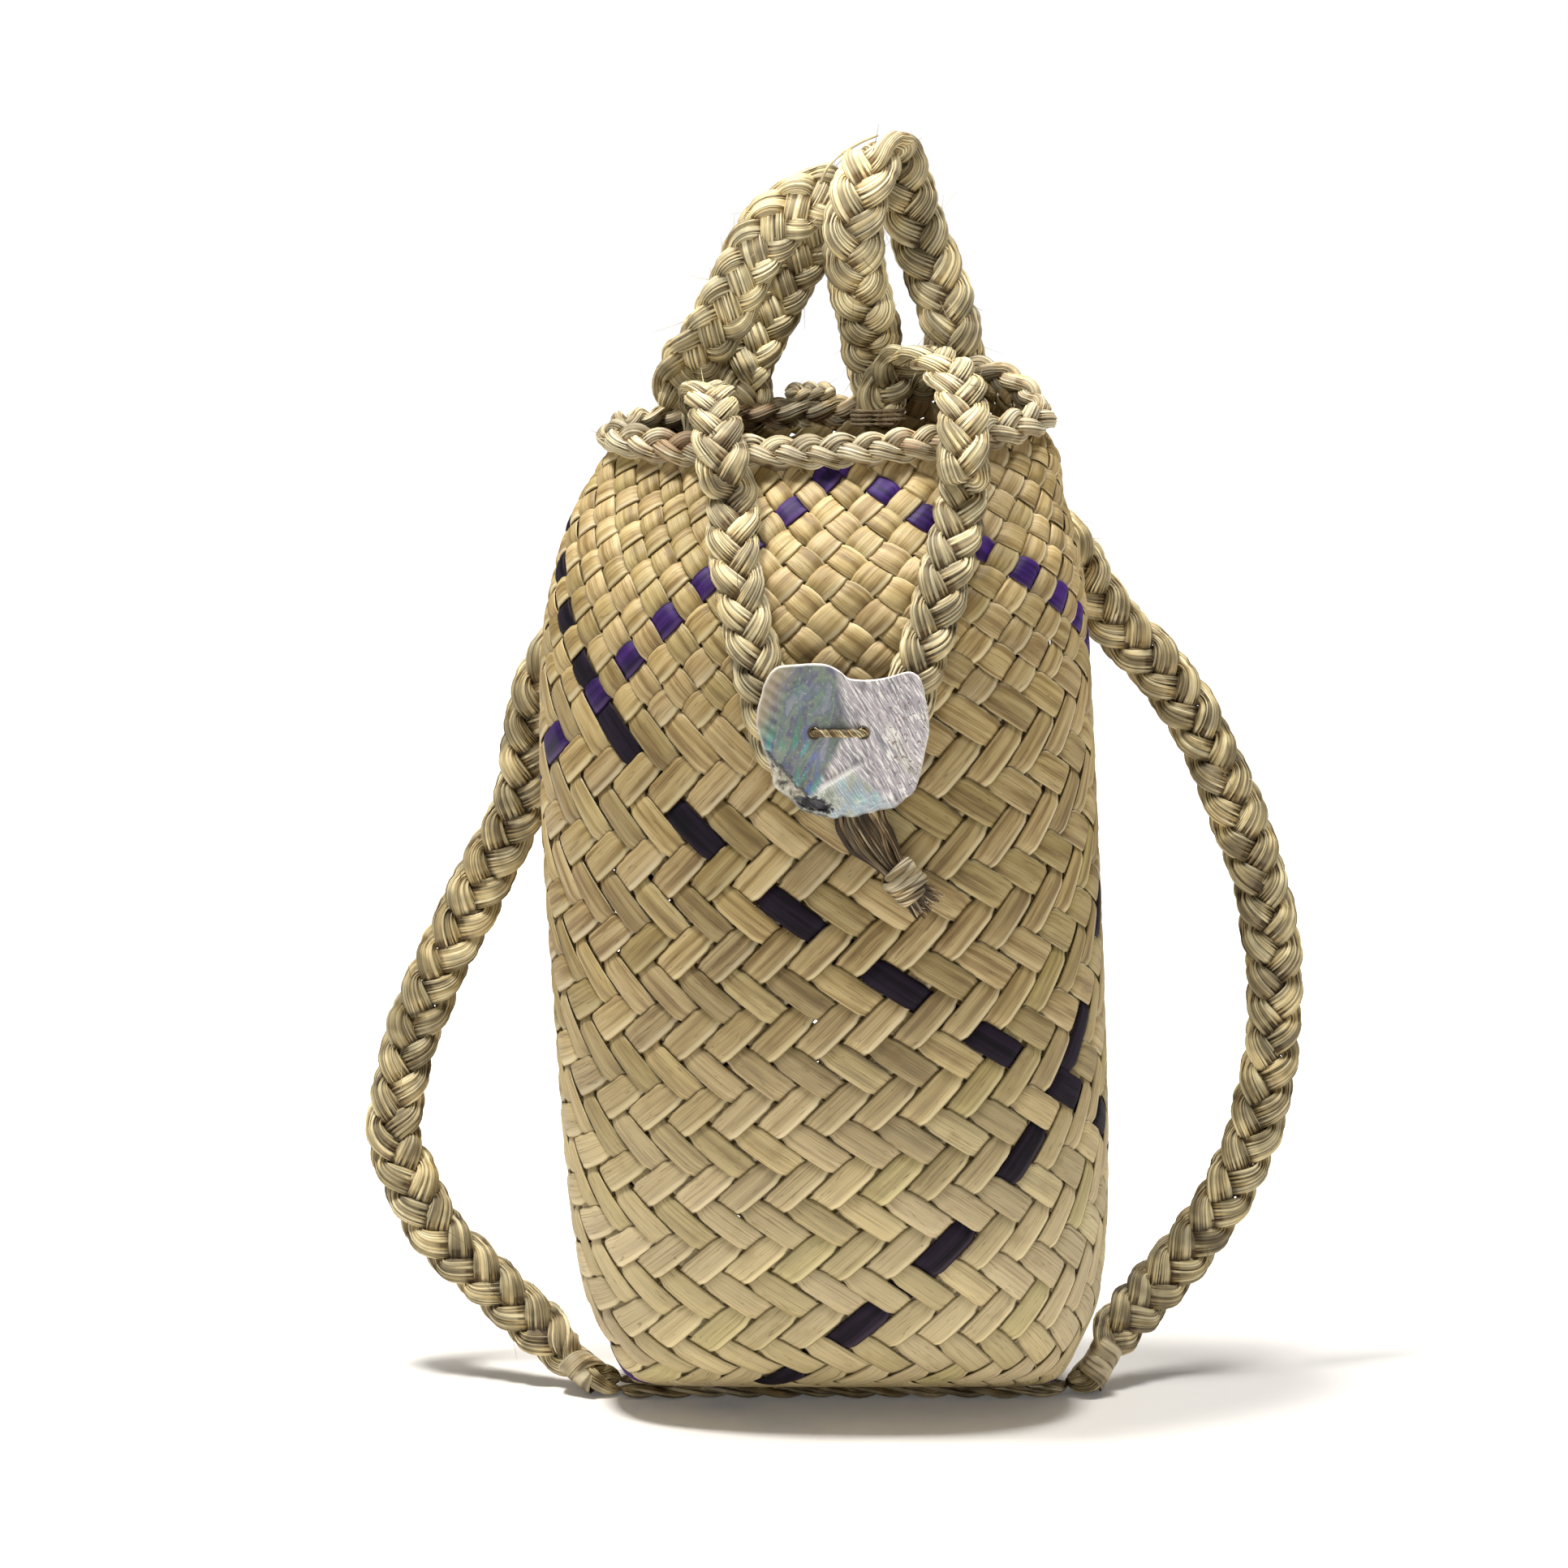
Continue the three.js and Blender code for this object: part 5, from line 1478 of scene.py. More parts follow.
@dataclass(frozen=True)
class Handles:
    """The two carry handles, each one plait folded into a tall loop on the back of the rim."""

    form: BodyForm
    line: RimLine
    rise: float = 123.0
    width: float = 23.0
    thickness: float = 10.0
    sunk: float = 6.5

    LEFT = ((-0.506, 0.429, 0.374), (-0.412, 0.371, 0.5), (-0.318, 0.4, 0.626), (-0.188, 0.429, 0.724),
            (-0.059, 0.514, 0.776), (0.071, 0.771, 0.789), (0.047, 1.029, 0.732), (-0.059, 1.114, 0.65),
            (-0.176, 1.086, 0.52), (-0.259, 1.057, 0.407))
    RIGHT = ((0.2, 0.629, 0.366), (0.159, 0.371, 0.472), (0.129, 0.171, 0.585), (0.127, 0.086, 0.715),
             (0.171, 0.114, 0.829), (0.224, 0.257, 0.915), (0.282, 0.514, 0.927), (0.341, 0.743, 0.862),
             (0.4, 0.886, 0.724), (0.482, 0.914, 0.561), (0.553, 0.857, 0.431))
    LOOSE = ((-9.5, 11.0, 481.0), (-7.0, 12.0, 487.0), (-2.0, 13.0, 492.0), (6.0, 13.0, 497.0), (13.0, 14.0, 500.0))

    def across(self, turns: tuple[float, float], fold: float, lie: Array) -> Way:
        """Returns the way that a handle's width lies.

        Args:
            turns: where its feet are on the rim.
            fold: the share of its length at which it is folded.
            lie: the way that its width lies at the fold.

        Returns:
            The way at each share and place: along the rim at its feet, and level between them and the fold.
        """
        ways = [self.line.ways(turn)[0] for turn in turns]

        def way(share: float, _: Array) -> Array:
            """Returns the way at a share of the length.

            Args:
                share: the share.

            Returns:
                The way.
            """
            first = 1 - float(smooth_step(0, 0.16, share))
            last = float(smooth_step(0.84, 1, share))
            near = 1 - float(smooth_step(0.05, 0.2, abs(share - fold)))
            level = np.array([1.0, 0, 0]) * max(0.0, 1 - first - last - near)
            return level + ways[0] * first + ways[1] * last + lie * near

        return way

    def path(self, turns: tuple[float, float], over: Sequence[Point]) -> list[Array]:
        """Returns a handle's corners.

        Args:
            turns: where its feet are on the rim.
            over: its places over the mouth.

        Returns:
            The corners, from inside the rim at one foot, over the top, to inside the rim at the other.
        """
        rise = (self.line.thickness + self.thickness) / 2 + 2 * self.form.clearance
        sunk, feet, raised = ([self.line.point(turn) + self.line.ways(turn)[2] * up for turn in turns]
                              for up in (rise - self.sunk, rise, rise + 7))
        loop = [self.form.over_mouth(x, y, share * self.rise) for x, y, share in over]
        return [sunk[0], feet[0], raised[0], *loop, raised[1], feet[1], sunk[1]]

    def make(self, palette: Palette) -> None:
        """Makes both handles.

        Args:
            palette: the bag's finishes.
        """
        plans = (
            ("left_handle", (0.366, 0.314), self.LEFT, 0.52, np.array([0.4, 0, -0.92]), 48.0, 5.0, 4),
            ("right_handle", (0.203, 0.142), self.RIGHT, 0.47, np.array([0.87, 0, 0.5]), 42.0, 5.5, 3),
        )
        for number, (name, turns, over, fold, lie, turn, half, strands) in enumerate(plans):
            rng = np.random.default_rng(60 + number)
            line = Line(self.path(turns, over))
            track = Track.lay(line, 4.0, across=self.across(turns, fold, lie))
            bag = MeshBag()
            strand = Strand(half, 2.6, fibres=24, groove=0.2)
            plait = Plait(self.width, self.thickness, turn, strand, step=1.4, strands=strands, waves=strands - 1)
            plait.lay(bag, track, rng)
            lay_hairs(bag, track.finer(1.5), (11.0, 4.6), count=60, length=15.0, rng=rng)
            if name == "right_handle":
                loose = Line([np.array(place) for place in self.LOOSE])
                front = Track.lay(loose, 1.0, facing=lambda share, _: np.array([0.0, -1.0, 0.0]))
                Strand(0.55, 0.3, fibres=3).lay(bag, front, rng, number=9, tone=1.0)
            settle(bag.build(f"{name}_fibres", palette.pale), name, "plaited_flax", name)


@dataclass(frozen=True)
class Straps:
    """The two shoulder straps, their ties at the back and the strips wound round their feet."""

    form: BodyForm
    base: Base
    width: float = 21.5
    thickness: float = 9.5
    tie_drop: float = 18.0
    tie_x: float = 30.0

    LEFT_BACK = ((0.566, 0.905, 0.2), (0.84, 0.82, 0.3))
    LEFT_BESIDE = ((10.5, 0.633, 0.745), (16, 0.658, 0.684), (21, 0.658, 0.608), (31, 0.658, 0.553),
                   (40.5, 0.658, 0.501), (50.5, 0.646, 0.45), (59.5, 0.633, 0.397), (65, 0.62, 0.363),
                   (70.5, 0.582, 0.301), (72.5, 0.532, 0.253), (66.5, 0.481, 0.211), (55.5, 0.405, 0.158),
                   (42, 0.342, 0.125), (25.2, 0.253, 0.088))
    LEFT_FOOT = ((25.5, 12, 15), (13, 4, 5.5), (6, 0.4, 1.4))
    RIGHT_BACK = ((0.511, 0.925, 0), (0.721, 0.885, 3.4))
    RIGHT_BESIDE = ((-10.7, 0.646, 0.838), (2.5, 0.658, 0.793), (17, 0.658, 0.755), (30.3, 0.658, 0.705),
                    (41.5, 0.658, 0.647), (51.5, 0.646, 0.582), (59.8, 0.633, 0.518), (64.8, 0.62, 0.442),
                    (65.7, 0.608, 0.379), (60.3, 0.557, 0.287), (50.8, 0.506, 0.216), (34, 0.43, 0.146),
                    (15.5, 0.304, 0.095))
    RIGHT_FOOT = ((16, 7, 18), (6.5, 0.4, 2.4))
    ROUTES = {-1: (LEFT_BACK, LEFT_BESIDE, LEFT_FOOT), 1: (RIGHT_BACK, RIGHT_BESIDE, RIGHT_FOOT)}
    STRAND = Strand(5.2, 2.6, fibres=24, groove=0.2)
    TIE = Winding(turns=3.4, pitch=2.5, half_wide=0.95, half_thick=0.75, gap=0.35, twist=0.12)
    WRAP = Winding(turns=1.9, pitch=7.2, half_wide=4.6, half_thick=0.5, gap=0.6, fibres=4)

    def facing(self) -> Way:
        """Returns the way that a strap's flat side looks.

        Returns:
            The way at each share and place: off the back, then back, then up at its foot.
        """
        form = self.form

        def way(share: float, place: Array) -> Array:
            """Returns the way at a place.

            Args:
                share: its share of the length.
                place: the place.

            Returns:
                The way.
            """
            turn = float(smooth_step(0.91, 0.99, share)) * math.pi / 2
            outside = np.array([0, math.cos(turn), math.sin(turn)])
            reach = form.body_width / 2 - 12
            x = min(reach, max(-reach, place[0] - form.lean_belly)) + form.lean_belly
            on_back = form.normal(x, min(place[2], form.rim_height - self.tie_drop), 1)
            return mix(on_back, outside, float(smooth_step(0, 0.2, share)))

        return way

    def path(self, side: int) -> list[Array]:
        """Returns a strap's corners.

        Args:
            side: -1 for the left and 1 for the right.

        Returns:
            The corners, from its tie at the back to its foot.
        """
        form, clearance = self.form, self.form.clearance
        on_back, beside, by_foot = self.ROUTES[side]
        off = self.thickness / 2 + 1.3 + 0.15 + 2.5 * clearance + 0.6
        foot = np.array([side * (self.base.half + 1.6 * clearance + self.thickness / 2), 0, self.thickness / 2 + 0.2])
        top = form.off_body(side * self.tie_x + form.lean_mouth, form.rim_height - self.tie_drop, off, 1)
        corners = [top]
        corners += [form.off_body(side * x * form.body_width / 2, up * form.rim_height, off + extra, 1)
                    for x, up, extra in on_back]
        corners += [np.array([side * (form.body_width / 2 + out), y * form.body_depth / 2, up * form.rim_height])
                    for out, y, up in beside]
        corners += [foot + np.array([side * out, y, up]) for out, y, up in by_foot]
        return [*corners, foot, foot - np.array([side * 2.4, 0.0, 0.2])]

    @staticmethod
    def narrow(share: Array) -> Array:
        """Returns the shares of its full width that a strap has, less at both ends."""
        top, foot = smooth_step(0, 0.05, share), smooth_step(0, 0.02, 1 - np.asarray(share))
        return np.minimum(0.6 + 0.4 * top, 0.72 + 0.28 * foot)

    def make(self, palette: Palette) -> None:
        """Makes both straps with their ties and wraps.

        Args:
            palette: the bag's finishes.
        """
        for side, name in ((-1, "left"), (1, "right")):
            rng = np.random.default_rng(80 + side)
            track = Track.lay(Line(self.path(side)), 4.0, facing=self.facing())
            bag = MeshBag()
            plait = Plait(self.width, self.thickness, 44.0, self.STRAND, step=1.4)
            plait.lay(bag, track, rng, self.narrow)
            lay_hairs(bag, track.finer(1.5), (10.0, 4.4), count=130, length=16.0, rng=rng)
            body = f"{name}_strap"
            settle(bag.build(f"{name}_strap_fibres", palette.fibre), body, "plaited_flax", f"{name}_shoulder_strap")
            fine = track.finer(3.0)
            last = len(fine.run) - 1
            bag = MeshBag()
            core = (self.width * float(self.narrow(np.array(3 / last))), self.thickness)
            self.TIE.lay(bag, fine, 2, core, rng, number=3)
            settle(bag.build(f"{name}_tie_twine", palette.twine), body, "twine", f"{name}_strap_tie")
            bag = MeshBag()
            self.WRAP.lay(bag, fine, last - 5, (self.width * 0.96, self.thickness), rng, number=5)
            settle(bag.build(f"{name}_wrap_strip", palette.leafy), body, "woven_flax", f"{name}_corner_wrap")


# The closure and its shell button


@dataclass(frozen=True)
class ButtonSeat:
    """Where the shell button and the closure lie on the bag's front, in millimetres."""

    form: BodyForm
    line: RimLine
    x: float = -3.0
    drop: float = 102.0
    plait_thickness: float = 7.6

    @property
    def z(self) -> float:
        """The height of the button's stitch."""
        return self.form.rim_height - self.drop

    @property
    def plait_off(self) -> float:
        """How far the closure plaits' middle lies off the body."""
        return self.plait_thickness / 2 + self.form.clearance

    @property
    def stitch_y(self) -> float:
        """The y of the shell's back at its stitch."""
        return self.form.body_y(self.x, self.z, 2 * self.plait_off + self.form.clearance)

    def on_front(self, across: float, up: float, extra: float = 0.0) -> Array:
        """Returns a place on the front: across from the button, and a share of the way to the rim."""
        return self.form.off_body(self.x + across, mix(self.z, self.form.rim_height, up), self.plait_off + extra)

    def before_rim(self, x: float, up: float, extra: float) -> Array:
        """Returns a place in front of the rim plait, at a height above the rim."""
        out = self.form.mouth_depth / 2 + self.line.width / 2 + self.plait_off + extra
        return np.array([self.form.lean_mouth + x * self.form.mouth_width / 2, -out, self.form.rim_height + up])


@dataclass(frozen=True)
class Closure:
    """The plaited loop: two plaits over the mouth, a lashing, and the tail bound under the shell."""

    seat: ButtonSeat
    plait: Plait = Plait(18.9, 8.0, 42.0, Strand(4.8, 2.3, fibres=22, groove=0.2), step=1.3)
    tail_fibres: int = 58

    LEFT_OVER = ((-0.565, 0.22, 19), (-0.54, -0.343, 21), (-0.515, -0.829, 15))
    LEFT_RIM = ((-0.488, 4, -1), (-0.464, -7, 5))
    LEFT_FRONT = ((-39.5, 0.804, 1.8), (-39.3, 0.637, 0.8), (-37, 0.51), (-34.5, 0.392), (-31, 0.245),
                  (-27, 0.108), (-23, -0.039), (-14, -0.157), (-6, -0.206))
    RIGHT_OVER = ((0.345, 0.343, 31), (0.43, 0, 35), (0.53, -0.429, 32), (0.6, -0.886, 23))
    RIGHT_RIM = ((0.612, 10, 0), (0.609, -5, 6))
    RIGHT_FRONT = ((47, 0.853, 1.8), (44.5, 0.706, 0.8), (41.5, 0.608), (38, 0.5), (34.5, 0.373),
                   (29.5, 0.225), (24, 0.059), (19.5, -0.088), (16, -0.196))
    TAIL = ((6.4, -26.6), (8.3, -33.9), (12.4, -41.6), (18.4, -50.6), (23.6, -57), (28.8, -62.4), (35.8, -68.6))
    TAIL_SIZES = ((17, 6), (22, 8), (21, 8), (12, 8), (9, 7.5), (13, 6.5), (17, 4.5))
    TAIL_OFFS = (2.9, 4.3, 4.7, 6.4, 8, 7.2, 5.4)
    ROUTES = ((LEFT_OVER, LEFT_RIM, LEFT_FRONT), (RIGHT_OVER, RIGHT_RIM, RIGHT_FRONT))
    ROOTS = (0.352, 0.208)
    LASHING = Winding(turns=3.6, pitch=1.7, half_wide=0.8, half_thick=0.6, gap=0.35, twist=0.12)
    BINDING = Winding(turns=4.2, pitch=2.9, half_wide=1.9, half_thick=1.3, gap=0.2, fibres=5, twist=0.02)
    FIBRE = Strand(1.25, 0.95, fibres=3, groove=0.10, twist=0.0, squareness=2.0, shag=0.05)
    TAIL_STEPS = 60
    KNOT = 4

    def across(self, turn: float) -> Way:
        """Returns the way that a plait's width lies.

        Args:
            turn: where its root is on the rim.

        Returns:
            The way at each share and place: along the rim at the root, then along the body.
        """
        form = self.seat.form
        along = self.seat.line.ways(turn)[0]

        def way(share: float, place: Array) -> Array:
            """Returns the way at a place.

            Args:
                share: its share of the length.
                place: the place.

            Returns:
                The way.
            """
            near = 1 - float(smooth_step(0, 0.12, share))
            if near > 0:
                return np.array([1 - near, 0, 0]) + along * near
            z = min(place[2], form.rim_height - 6)
            slope = form.body_y(place[0] + 1, z) - form.body_y(place[0] - 1, z)
            on_body = 1 - float(smooth_step(form.rim_height - 30, form.rim_height, place[2])) if place[1] < 0 else 0
            return np.array([2.0, slope * on_body, 0.0])

        return way

    def path(self, side: int) -> list[Array]:
        """Returns a plait's corners.

        Args:
            side: 0 for the left and 1 for the right.

        Returns:
            The corners, from inside the mouth to the button.
        """
        seat = self.seat
        turn = self.ROOTS[side]
        over, rim, front = self.ROUTES[side]
        away = (seat.line.width + seat.plait_thickness) / 2 + 1.5 + 2 * seat.form.clearance
        root = seat.line.point(turn) + seat.line.ways(turn)[1] * away
        corners = [root - np.array([0, 0, 8.0]), root]
        corners += [seat.form.over_mouth(*place) for place in over]
        corners += [seat.before_rim(*place) for place in rim]
        return corners + [seat.on_front(*place) for place in front]

    def make(self, palette: Palette) -> None:
        """Makes the two plaits, the lashing and the tail.

        Args:
            palette: the bag's finishes.
        """
        for side, name in enumerate(("left", "right")):
            rng = np.random.default_rng(100 + side)
            track = Track.lay(Line(self.path(side)), 4.0, across=self.across(self.ROOTS[side]))
            bag = MeshBag()
            self.plait.lay(bag, track, rng, start=0.15 * side)
            lay_hairs(bag, track.finer(1.5), (8.8, 3.6), count=70, length=14.0, rng=rng)
            settle(bag.build(f"closure_{name}_fibres", palette.pale), "closure", "plaited_flax",
                   f"closure_{name}_plait")
            if side:
                fine = track.finer(3.0)
                bag = MeshBag()
                core = (self.plait.width, self.plait.thickness)
                self.LASHING.lay(bag, fine, 1, core, rng, number=2)
                settle(bag.build("closure_lashing_twine", palette.twine), "closure", "twine", "closure_lashing")
        self.make_tail(palette)

    def make_tail(self, palette: Palette) -> None:
        """Makes the loose fibres under the shell, and the knot that binds them.

        Args:
            palette: the bag's finishes.
        """
        seat, rng = self.seat, np.random.default_rng(120)
        middle = [seat.form.off_body(seat.x + x, seat.z + z, off + seat.form.clearance)
                  for (x, z), off in zip(self.TAIL, self.TAIL_OFFS)]
        line = Line(middle)
        run = np.linspace(0, line.length, self.TAIL_STEPS)
        corner_runs = np.linspace(0, line.length, len(middle))
        for k, corner in enumerate(middle):
            corner_runs[k] = line.run[np.argmin(np.linalg.norm(line.dense - corner, axis=1))]
        place = line.at(run)
        along = unit(np.gradient(place, axis=0))
        flat = square_to(np.array([0, -1.0, 0]), along)
        wide = unit(np.cross(along, flat))
        sizes = np.array(self.TAIL_SIZES) / 2
        half = np.stack([np.interp(run, corner_runs, sizes[:, k]) for k in (0, 1)], axis=1)
        bag = MeshBag()
        knot_run = corner_runs[self.KNOT]
        for number in range(self.tail_fibres):
            angle, reach = rng.uniform(0, 2 * math.pi), math.sqrt(rng.uniform(0.08, 1.0))
            spread = np.array([math.cos(angle) * reach, math.sin(angle) * reach])
            length = line.length * rng.uniform(0.88, 1.03)
            end = np.searchsorted(run, min(length, line.length))
            keep = slice(0, max(end, round(0.7 * self.TAIL_STEPS)))
            sway = wander(rng, run, 14.0, 2) * np.array([0.14, 0.1])
            loose = smooth_step(knot_run + 3, line.length, run)[:, None] * rng.normal(0, 0.28, 2)
            at = (spread + sway + loose) * (half - 0.7)
            centre = place + wide * at[:, :1] + flat * at[:, 1:]
            size = rng.uniform(0.75, 1.25) * np.sqrt(half[:, 0] * half[:, 1] / 60.0)
            size *= 1 - 0.55 * smooth_step(knot_run + 8, line.length, run)
            heading = unit(np.gradient(centre, axis=0))
            track = Track(run[keep], centre[keep], heading[keep], unit(np.cross(heading, flat))[keep], flat[keep])
            tone = float(rng.uniform(0, 1))
            self.FIBRE.lay(bag, track, rng, number, tone, size[keep])
        settle(bag.build("closure_tail_fibres", palette.tail), "closure", "plaited_flax", "closure_tail")
        k = int(np.argmin(np.abs(run - knot_run)))
        bag = MeshBag()
        core = (self.TAIL_SIZES[self.KNOT][0] + 1.0, self.TAIL_SIZES[self.KNOT][1] + 0.6)
        path = Track(run, place, along, wide, flat)
        self.BINDING.lay(bag, path, k, core, rng, number=1)
        settle(bag.build("closure_binding_twine", palette.leafy), "closure", "twine", "closure_binding")


@dataclass(frozen=True)
class ShellButton:
    """A broken disc of shell with two drilled holes, its twine stitch and the knot inside the bag."""

    seat: ButtonSeat
    thickness: float = 2.4
    cup: float = 2.2
    hole_spacing: float = 18.6
    hole: float = 4.2
    twine: float = 2.6
    edge_points: int = 220

    OUTLINE = ((-23.4, 25), (-16.8, 25.9), (-10.3, 26.3), (-4.5, 25.9), (-0.9, 24.3), (3.8, 20.7), (8.6, 20.1),
               (14.3, 20.3), (19.4, 21.4), (27.4, 23.3), (30.4, 21), (32.1, 16.3), (34.1, 2.5), (31.7, -11.2),
               (28.5, -22.1), (25.9, -25), (21.6, -27.9), (8.6, -31.2), (-3.1, -32.3), (-10.3, -30.8),
               (-15.4, -28.3), (-24.4, -19.2), (-25.2, -14.9), (-29.5, -3.3), (-31.2, 4), (-28.8, 16.3),
               (-26.9, 21.4))

    @staticmethod
    def relief(x: Array, z: Array, share: Array) -> Array:
        """Returns how far the shell's front stands proud, in millimetres.

        Args:
            x: across from the stitch.
            z: up from the stitch.
            share: 0 in the middle and 1 at the edge.

        Returns:
            The height of layers, ridges and the broken edge.
        """
        border = x + 0.18 * (z - 21) * -1 + np.minimum(z, 0) * 0.75
        left = 1 - smooth_step(-0.5, 1.6, border)
        height = 0.55 * left * smooth_step(-16, -6, z + 0.2 * x)
        height += 0.10 * np.sin((x - 0.42 * z) * 0.8 + 0.6 * np.sin(z * 0.2)) * left
        height += 0.05 * np.sin((x + 0.62 * z) * 1.5 + 0.8 * np.sin(x * 0.15)) * (1 - left)
        a, b = np.array([-8.0, -22.0]), np.array([8.0, -12.0])
        t = np.clip(((x - a[0]) * (b - a)[0] + (z - a[1]) * (b - a)[1]) / ((b - a) @ (b - a)), 0, 1)
        ridge = np.hypot(x - a[0] - t * (b - a)[0], z - a[1] - t * (b - a)[1])
        height += 0.75 * np.exp(-((ridge / 1.7) ** 2))
        lower = smooth_step(-14, -22, z - 0.3 * x)
        steps = np.floor((share * 15 + 0.8 * np.sin(x * 0.9) + 0.5 * np.sin(x * 2.3 + z))) / 15
        height -= lower * smooth_step(0.78, 1.0, steps) * 1.15
        hollow = np.hypot(0.18 * x + 0.06 * z + 3.3, 0.05 * x + 0.4 * z + 11.4)
        height -= 1.5 * (1 - smooth_step(0.6, 1.1, hollow))
        height -= 0.6 * smooth_step(0.3, -0.5, 0.727 * x + 0.687 * z + 25.1) * smooth_step(-1, -6, z)
        left_edge = smooth_step(-21, -27, x - 0.2 * z)
        height -= 0.35 * left_edge * (0.5 + 0.5 * np.sin(z * 1.3 + x))
        return height

    def disc(self) -> MeshBag:
        """Makes the shell's disc.

        Returns:
            Its front and back as one closed mesh.
        """
        seat, count = self.seat, self.edge_points
        corners = [np.array([x, 0.0, z]) for x, z in self.OUTLINE]
        line = Line(corners, closed=True)
        edge = line.at(np.arange(count) / count * line.length)
        rng = np.random.default_rng(140)
        chips = wander(rng, np.arange(count) * 1.0, 3.0)[:, 0]
        chips *= np.minimum(1, np.minimum(np.arange(count), np.arange(count)[::-1]) / 6)
        broken = smooth_step(-10, -20, edge[:, 2]) * 0.5 + 0.22
        edge *= (1 + chips * broken * 0.022)[:, None]
        shares = np.concatenate([np.linspace(0.012, 0.9, 64), np.linspace(0.915, 0.985, 9), [0.993, 1.0]])

        def face(front: bool) -> Array:
            """Returns the points of one face.

            Args:
                front: whether it is the front one.

            Returns:
                A ring for each share of the way from the middle to the edge.
            """
            x = edge[None, :, 0] * shares[:, None]
            z = edge[None, :, 2] * shares[:, None]
            bow = self.cup * ((x / 34) ** 2 * 0.55 + (z / 34) ** 2 * 0.45)
            round_off = 1 - 0.55 * smooth_step(0.975, 1.0, shares)[:, None] ** 2
            half = self.thickness / 2 * round_off
            if front:
                raised = self.relief(x, z, np.broadcast_to(shares[:, None], x.shape))
                raised = raised * (1 - smooth_step(0.985, 1.0, shares))[:, None]
                y = seat.stitch_y - bow - self.thickness / 2 - half - raised + 0.25
            else:
                y = seat.stitch_y - bow - self.thickness / 2 + half
            return np.stack([seat.x + x, y, seat.z + z], axis=-1)

        front, back = face(True), face(False)
        rings = np.concatenate([back, front[::-1]])
        bag = MeshBag()
        rows = len(rings)
        bag.add_tube(rings, np.arange(count + 1) / count, np.arange(rows + 1) / rows, 0.0)
        chalk = smooth_step(0.955, 1.0, np.concatenate([shares, shares[::-1]]))[:, None]
        bag.values = [(chalk * (0.75 + 0.25 * chips[None, :])).ravel()]
        return bag

    def drill(self, piece: bpy.types.Object) -> None:
        """Cuts the two holes through the shell.

        Args:
            piece: the shell.
        """
        for side in (-1, 1):
            bpy.ops.object.select_all(action="DESELECT")
            spot = ((self.seat.x + side * self.hole_spacing / 2) * MM, (self.seat.stitch_y - 1.2) * MM,
                    self.seat.z * MM)
            bpy.ops.mesh.primitive_cylinder_add(vertices=40, radius=self.hole / 2 * MM, depth=0.016, location=spot,
                                                rotation=(math.pi / 2, 0, 0))
            cutter = bpy.context.object
            cut = piece.modifiers.new("hole", "BOOLEAN")
            cut.operation, cut.object, cut.solver = "DIFFERENCE", cutter, "EXACT"
            bpy.ops.object.select_all(action="DESELECT")
            piece.select_set(True)
            bpy.context.view_layer.objects.active = piece
            bpy.ops.object.modifier_apply(modifier=cut.name)
            bpy.data.objects.remove(cutter, do_unlink=True)

    @staticmethod
    def heading(place: Array, closed: bool) -> Array:
        """Returns the ways along places, at length one."""
        ahead, behind = np.roll(place, -1, axis=0), np.roll(place, 1, axis=0)
        return unit(ahead - behind if closed else np.gradient(place, axis=0))

    def cord(self, bag: MeshBag, line: Line, half: float, pitch: float, seed: int, closed: bool = False) -> None:
        """Adds a two-ply twisted cord along a line.

        Args:
            bag: the mesh that takes it.
            line: its middle line.
            half: half its thickness.
            pitch: the length of one turn.
            seed: the seed of its small differences.
            closed: whether it joins up with itself.
        """
        rng = np.random.default_rng(seed)
        count = round(line.length / 0.45)
        run = np.arange(count if closed else count + 1) / count * line.length
        place = line.at(run)
        along = self.heading(place, closed)
        wide = unit(np.cross(along, np.array([0.02, 0.05, 1.0])))
        flat = np.cross(along, wide)
        turns = round(line.length / pitch) / line.length
        for ply in range(2):
            angle = 2 * math.pi * (run * turns + ply / 2)
            out = wide * np.cos(angle)[:, None] + flat * np.sin(angle)[:, None]
            centre = place + out * half * 0.5
            heading = self.heading(centre, closed)
            track = Track(run, centre, heading, unit(np.cross(out, heading)), out, closed)
            strand = Strand(half * 0.72, half * 0.55, fibres=7, groove=0.10, twist=0.0, squareness=2.0, shag=0.05)
            strand.lay(bag, track, rng, ply + 3, float(rng.uniform(0, 1)))

